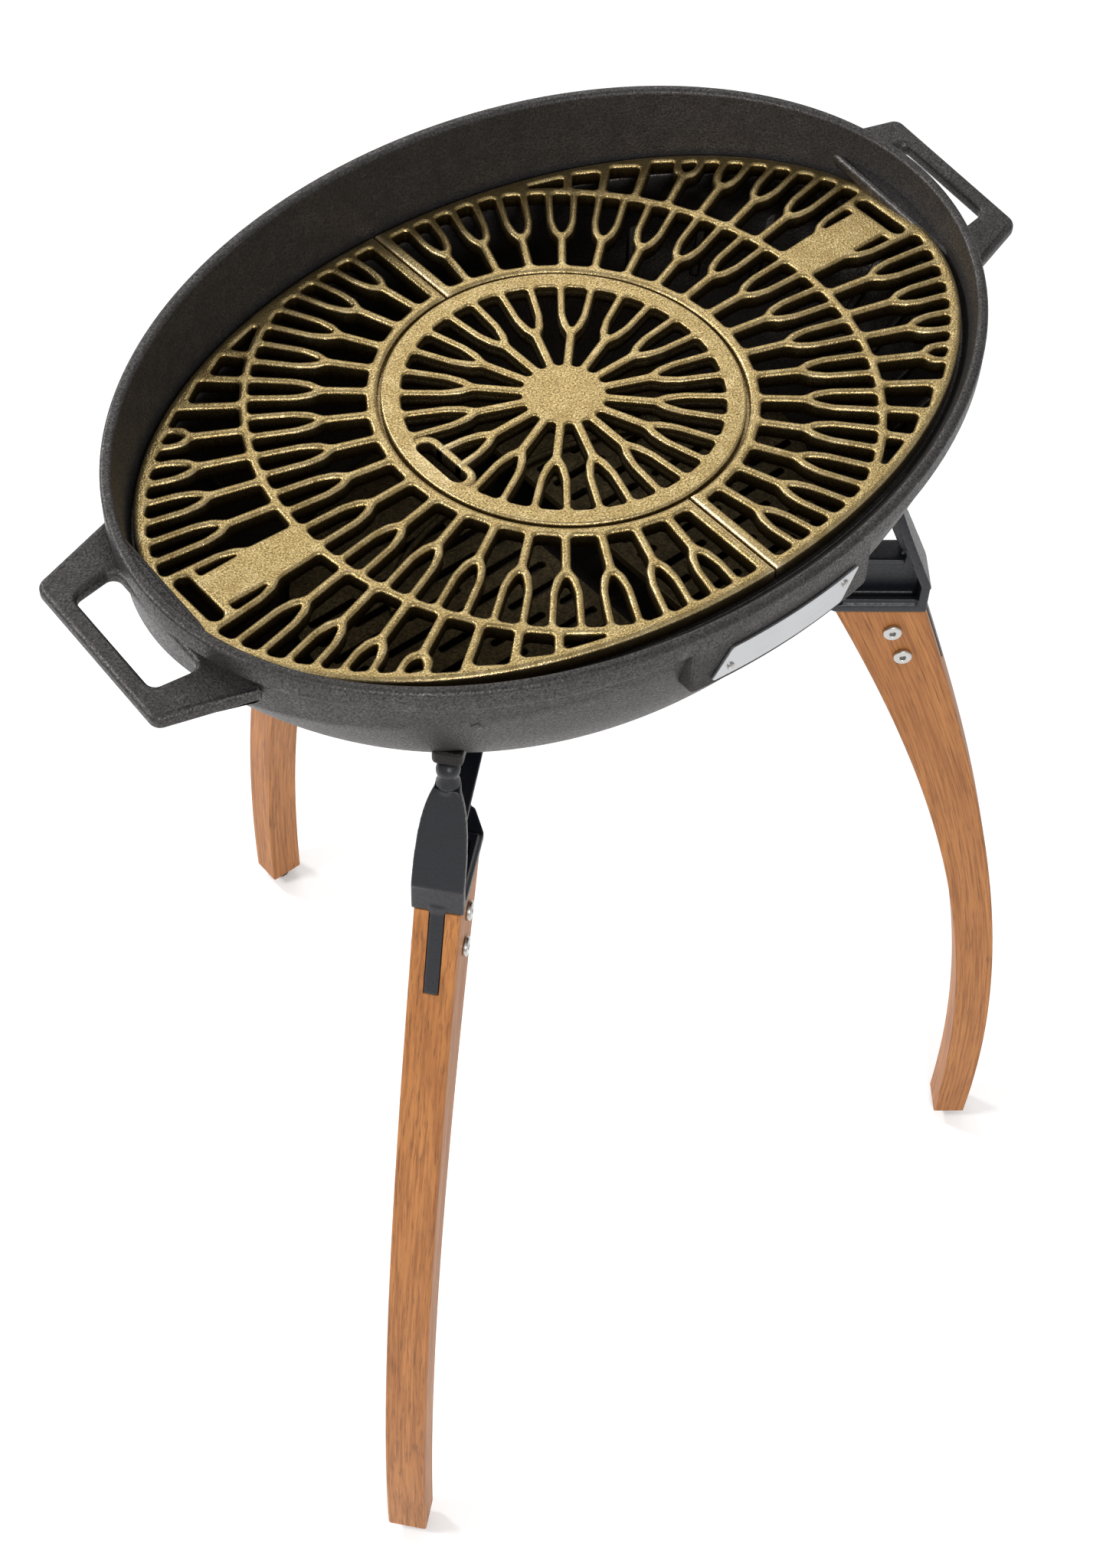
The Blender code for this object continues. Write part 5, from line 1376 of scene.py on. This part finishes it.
def fasteners():
    """Every screw, sleeve nut, bracket bolt and rivet, each kind as one piece on the stand."""
    tree = make_fastener_tree()
    face = LEG_THICKNESS / 2 + GAP
    screws, screw_nodes, bolts, bolt_nodes = [], [], [], []
    for name in leg_planes:
        turn = station(name)
        for (x, z), level in zip(bolt_places(), ("upper", "lower")):
            for side, kind in ((1, "bolt"), (-1, "sleeve_nut")):
                screws.append((turn @ Vector((x, side * face, z)), turn.to_3x3() @ Vector((0, side, 0))))
                screw_nodes.append(f"{name}_{kind}_{level}")
        under = -BOWL_DEPTH - BOSS_HEIGHT - GAP - PAD_THICKNESS - GAP
        bolts.append((turn @ Vector((PAD_PLACE, 0, under)), Vector((0, 0, -1))))
        bolt_nodes.append(f"{name}_bracket_bolt")
    rivets = []
    for sign in (-1, 1):
        x, z = sign * (BADGE_LENGTH / 2 - RIVET_INSET), sign * RIVET_OFFSET - BADGE_DROP
        slope = (panel_y(x + GAP) - panel_y(x - GAP)) / (2 * GAP)
        out = Vector((slope, -1, 0)).normalized()
        rivets.append((Vector((x, panel_y(x), z)) + out * (BADGE_THICKNESS + 2 * GAP), out))
    for label, spots, head, nodes in (
        ("leg_screw_heads", screws, socket_head(), screw_nodes),
        ("bracket_bolt_heads", bolts, hexagon_head(), bolt_nodes),
        ("name_plate_rivet_heads", rivets, rivet_head(), ["name_plate_rivet_left", "name_plate_rivet_right"]),
    ):
        shape = helper(head)
        values = {"Fastener": shape, "Size": 1.0, "Finish": finishes["stainless_steel"]}
        grown(label, points_with_facing(label, spots), tree, values, "stainless_steel", "stand", nodes)
        bpy.data.objects.remove(shape)


def wall_ribs():
    """Cast ribs up both ends of the bowl's inner wall."""
    tree = make_rib_tree()
    a, b = inner_wall(RIB_DEPTH)
    upper_a, lower_a = (inner_wall(RIB_DEPTH + sign * RIB_HEIGHT / 2)[0] for sign in (-1, 1))
    lean = math.atan2(upper_a - lower_a, RIB_HEIGHT)
    for facing, label in ((0.0, "right"), (math.pi, "left")):
        values = {
            "Count": RIB_COUNT, "Half Length": a, "Half Width": b, "Spread": RIB_SPREAD, "Facing": facing,
            "Height": -RIB_DEPTH, "Lean": lean, "Bar": (RIB_WIDTH, RIB_WIDTH, RIB_HEIGHT),
            "Finish": finishes["cast_iron"],
        }
        base = bpy.data.meshes.new("ribs")
        grown(f"bowl_ribs_{label}", base, tree, values, "cast_iron", "stand", soften=RIB_SOFT)


# ---------------------------------------------------------------- stage


def studio():
    bpy.ops.mesh.primitive_plane_add(size=30.0)
    floor = bpy.context.object
    floor.name = "floor"
    paper = bpy.data.materials.new("pale_floor")
    paper.use_nodes = True
    shader = paper.node_tree.nodes["Principled BSDF"]
    for label, value in (("Base Color", (0.93, 0.93, 0.93, 1.0)), ("Roughness", 0.9),
                         ("Emission Color", (1.0, 1.0, 1.0, 1.0)), ("Emission Strength", FLOOR_GLOW)):
        shader.inputs[label].default_value = value
    floor.data.materials.append(paper)

    world = bpy.data.worlds.new("studio")
    world.use_nodes = True
    sky = world.node_tree.nodes["Background"]
    sky.inputs["Color"].default_value = (1.0, 1.0, 1.0, 1.0)
    sky.inputs["Strength"].default_value = SKY_STRENGTH
    bpy.context.scene.world = world
    bpy.context.scene.view_settings.view_transform = "Standard"

    for name, place, size, power in (
        ("key_light", (1.4, 1.7, 2.8), 1.8, 19.0),
        ("edge_light", (-0.6, 2.3, 2.2), 0.5, 30.0),
        ("left_light", (-2.0, 0.9, 2.3), 0.7, 34.0),
        ("front_light", (-1.2, -2.3, 2.3), 0.9, 36.0),
    ):
        lamp = bpy.data.lights.new(name, "AREA")
        lamp.shape = "DISK"
        lamp.size = size
        lamp.energy = power
        obj = bpy.data.objects.new(name, lamp)
        obj.location = place
        obj.rotation_euler = (Vector((0, axis_y, 0.6)) - Vector(place)).to_track_quat("-Z", "Y").to_euler()
        bpy.context.scene.collection.objects.link(obj)


def viewpoint():
    camera = bpy.data.cameras.new("camera")
    camera.lens = LENS
    camera.sensor_width = SENSOR
    obj = bpy.data.objects.new("camera", camera)
    eye = Vector((-0.7587, axis_y - 0.8351, cook_top + 1.0358))
    aim = Vector((-0.1053, axis_y - 0.1256, cook_top - 0.1536))
    turn = (aim - eye).to_track_quat("-Z", "Y").to_matrix().to_4x4()
    obj.matrix_world = Matrix.Translation(eye) @ turn @ Matrix.Rotation(ROLL, 4, "Z")
    bpy.context.scene.collection.objects.link(obj)
    bpy.context.scene.camera = obj


# ---------------------------------------------------------------- the whole grill

leg_planes = {
    "leg_front_right": (-LEG_ANGLE, LEG_OFFSET),
    "leg_front_left": (math.pi + LEG_ANGLE, -LEG_OFFSET),
    "leg_back": (math.pi / 2, 0.0),
}
arm_place = max(wall_reach(leg, STUD_DROP) for leg in leg_planes) + STUD_RADIUS
outer_edge, inner_edge = leg_edges()

viewpoint()
studio()
fire_bowl()
wall_ribs()
charcoal_plates()
half_grates()
centre_grate()
badge()
fasteners()
for number, leg_name in enumerate(leg_planes):
    oak_leg(leg_name, 1.0 + 2.3 * number)
    bracket(leg_name)
    rest_stud(leg_name)
    foot_glide(leg_name)
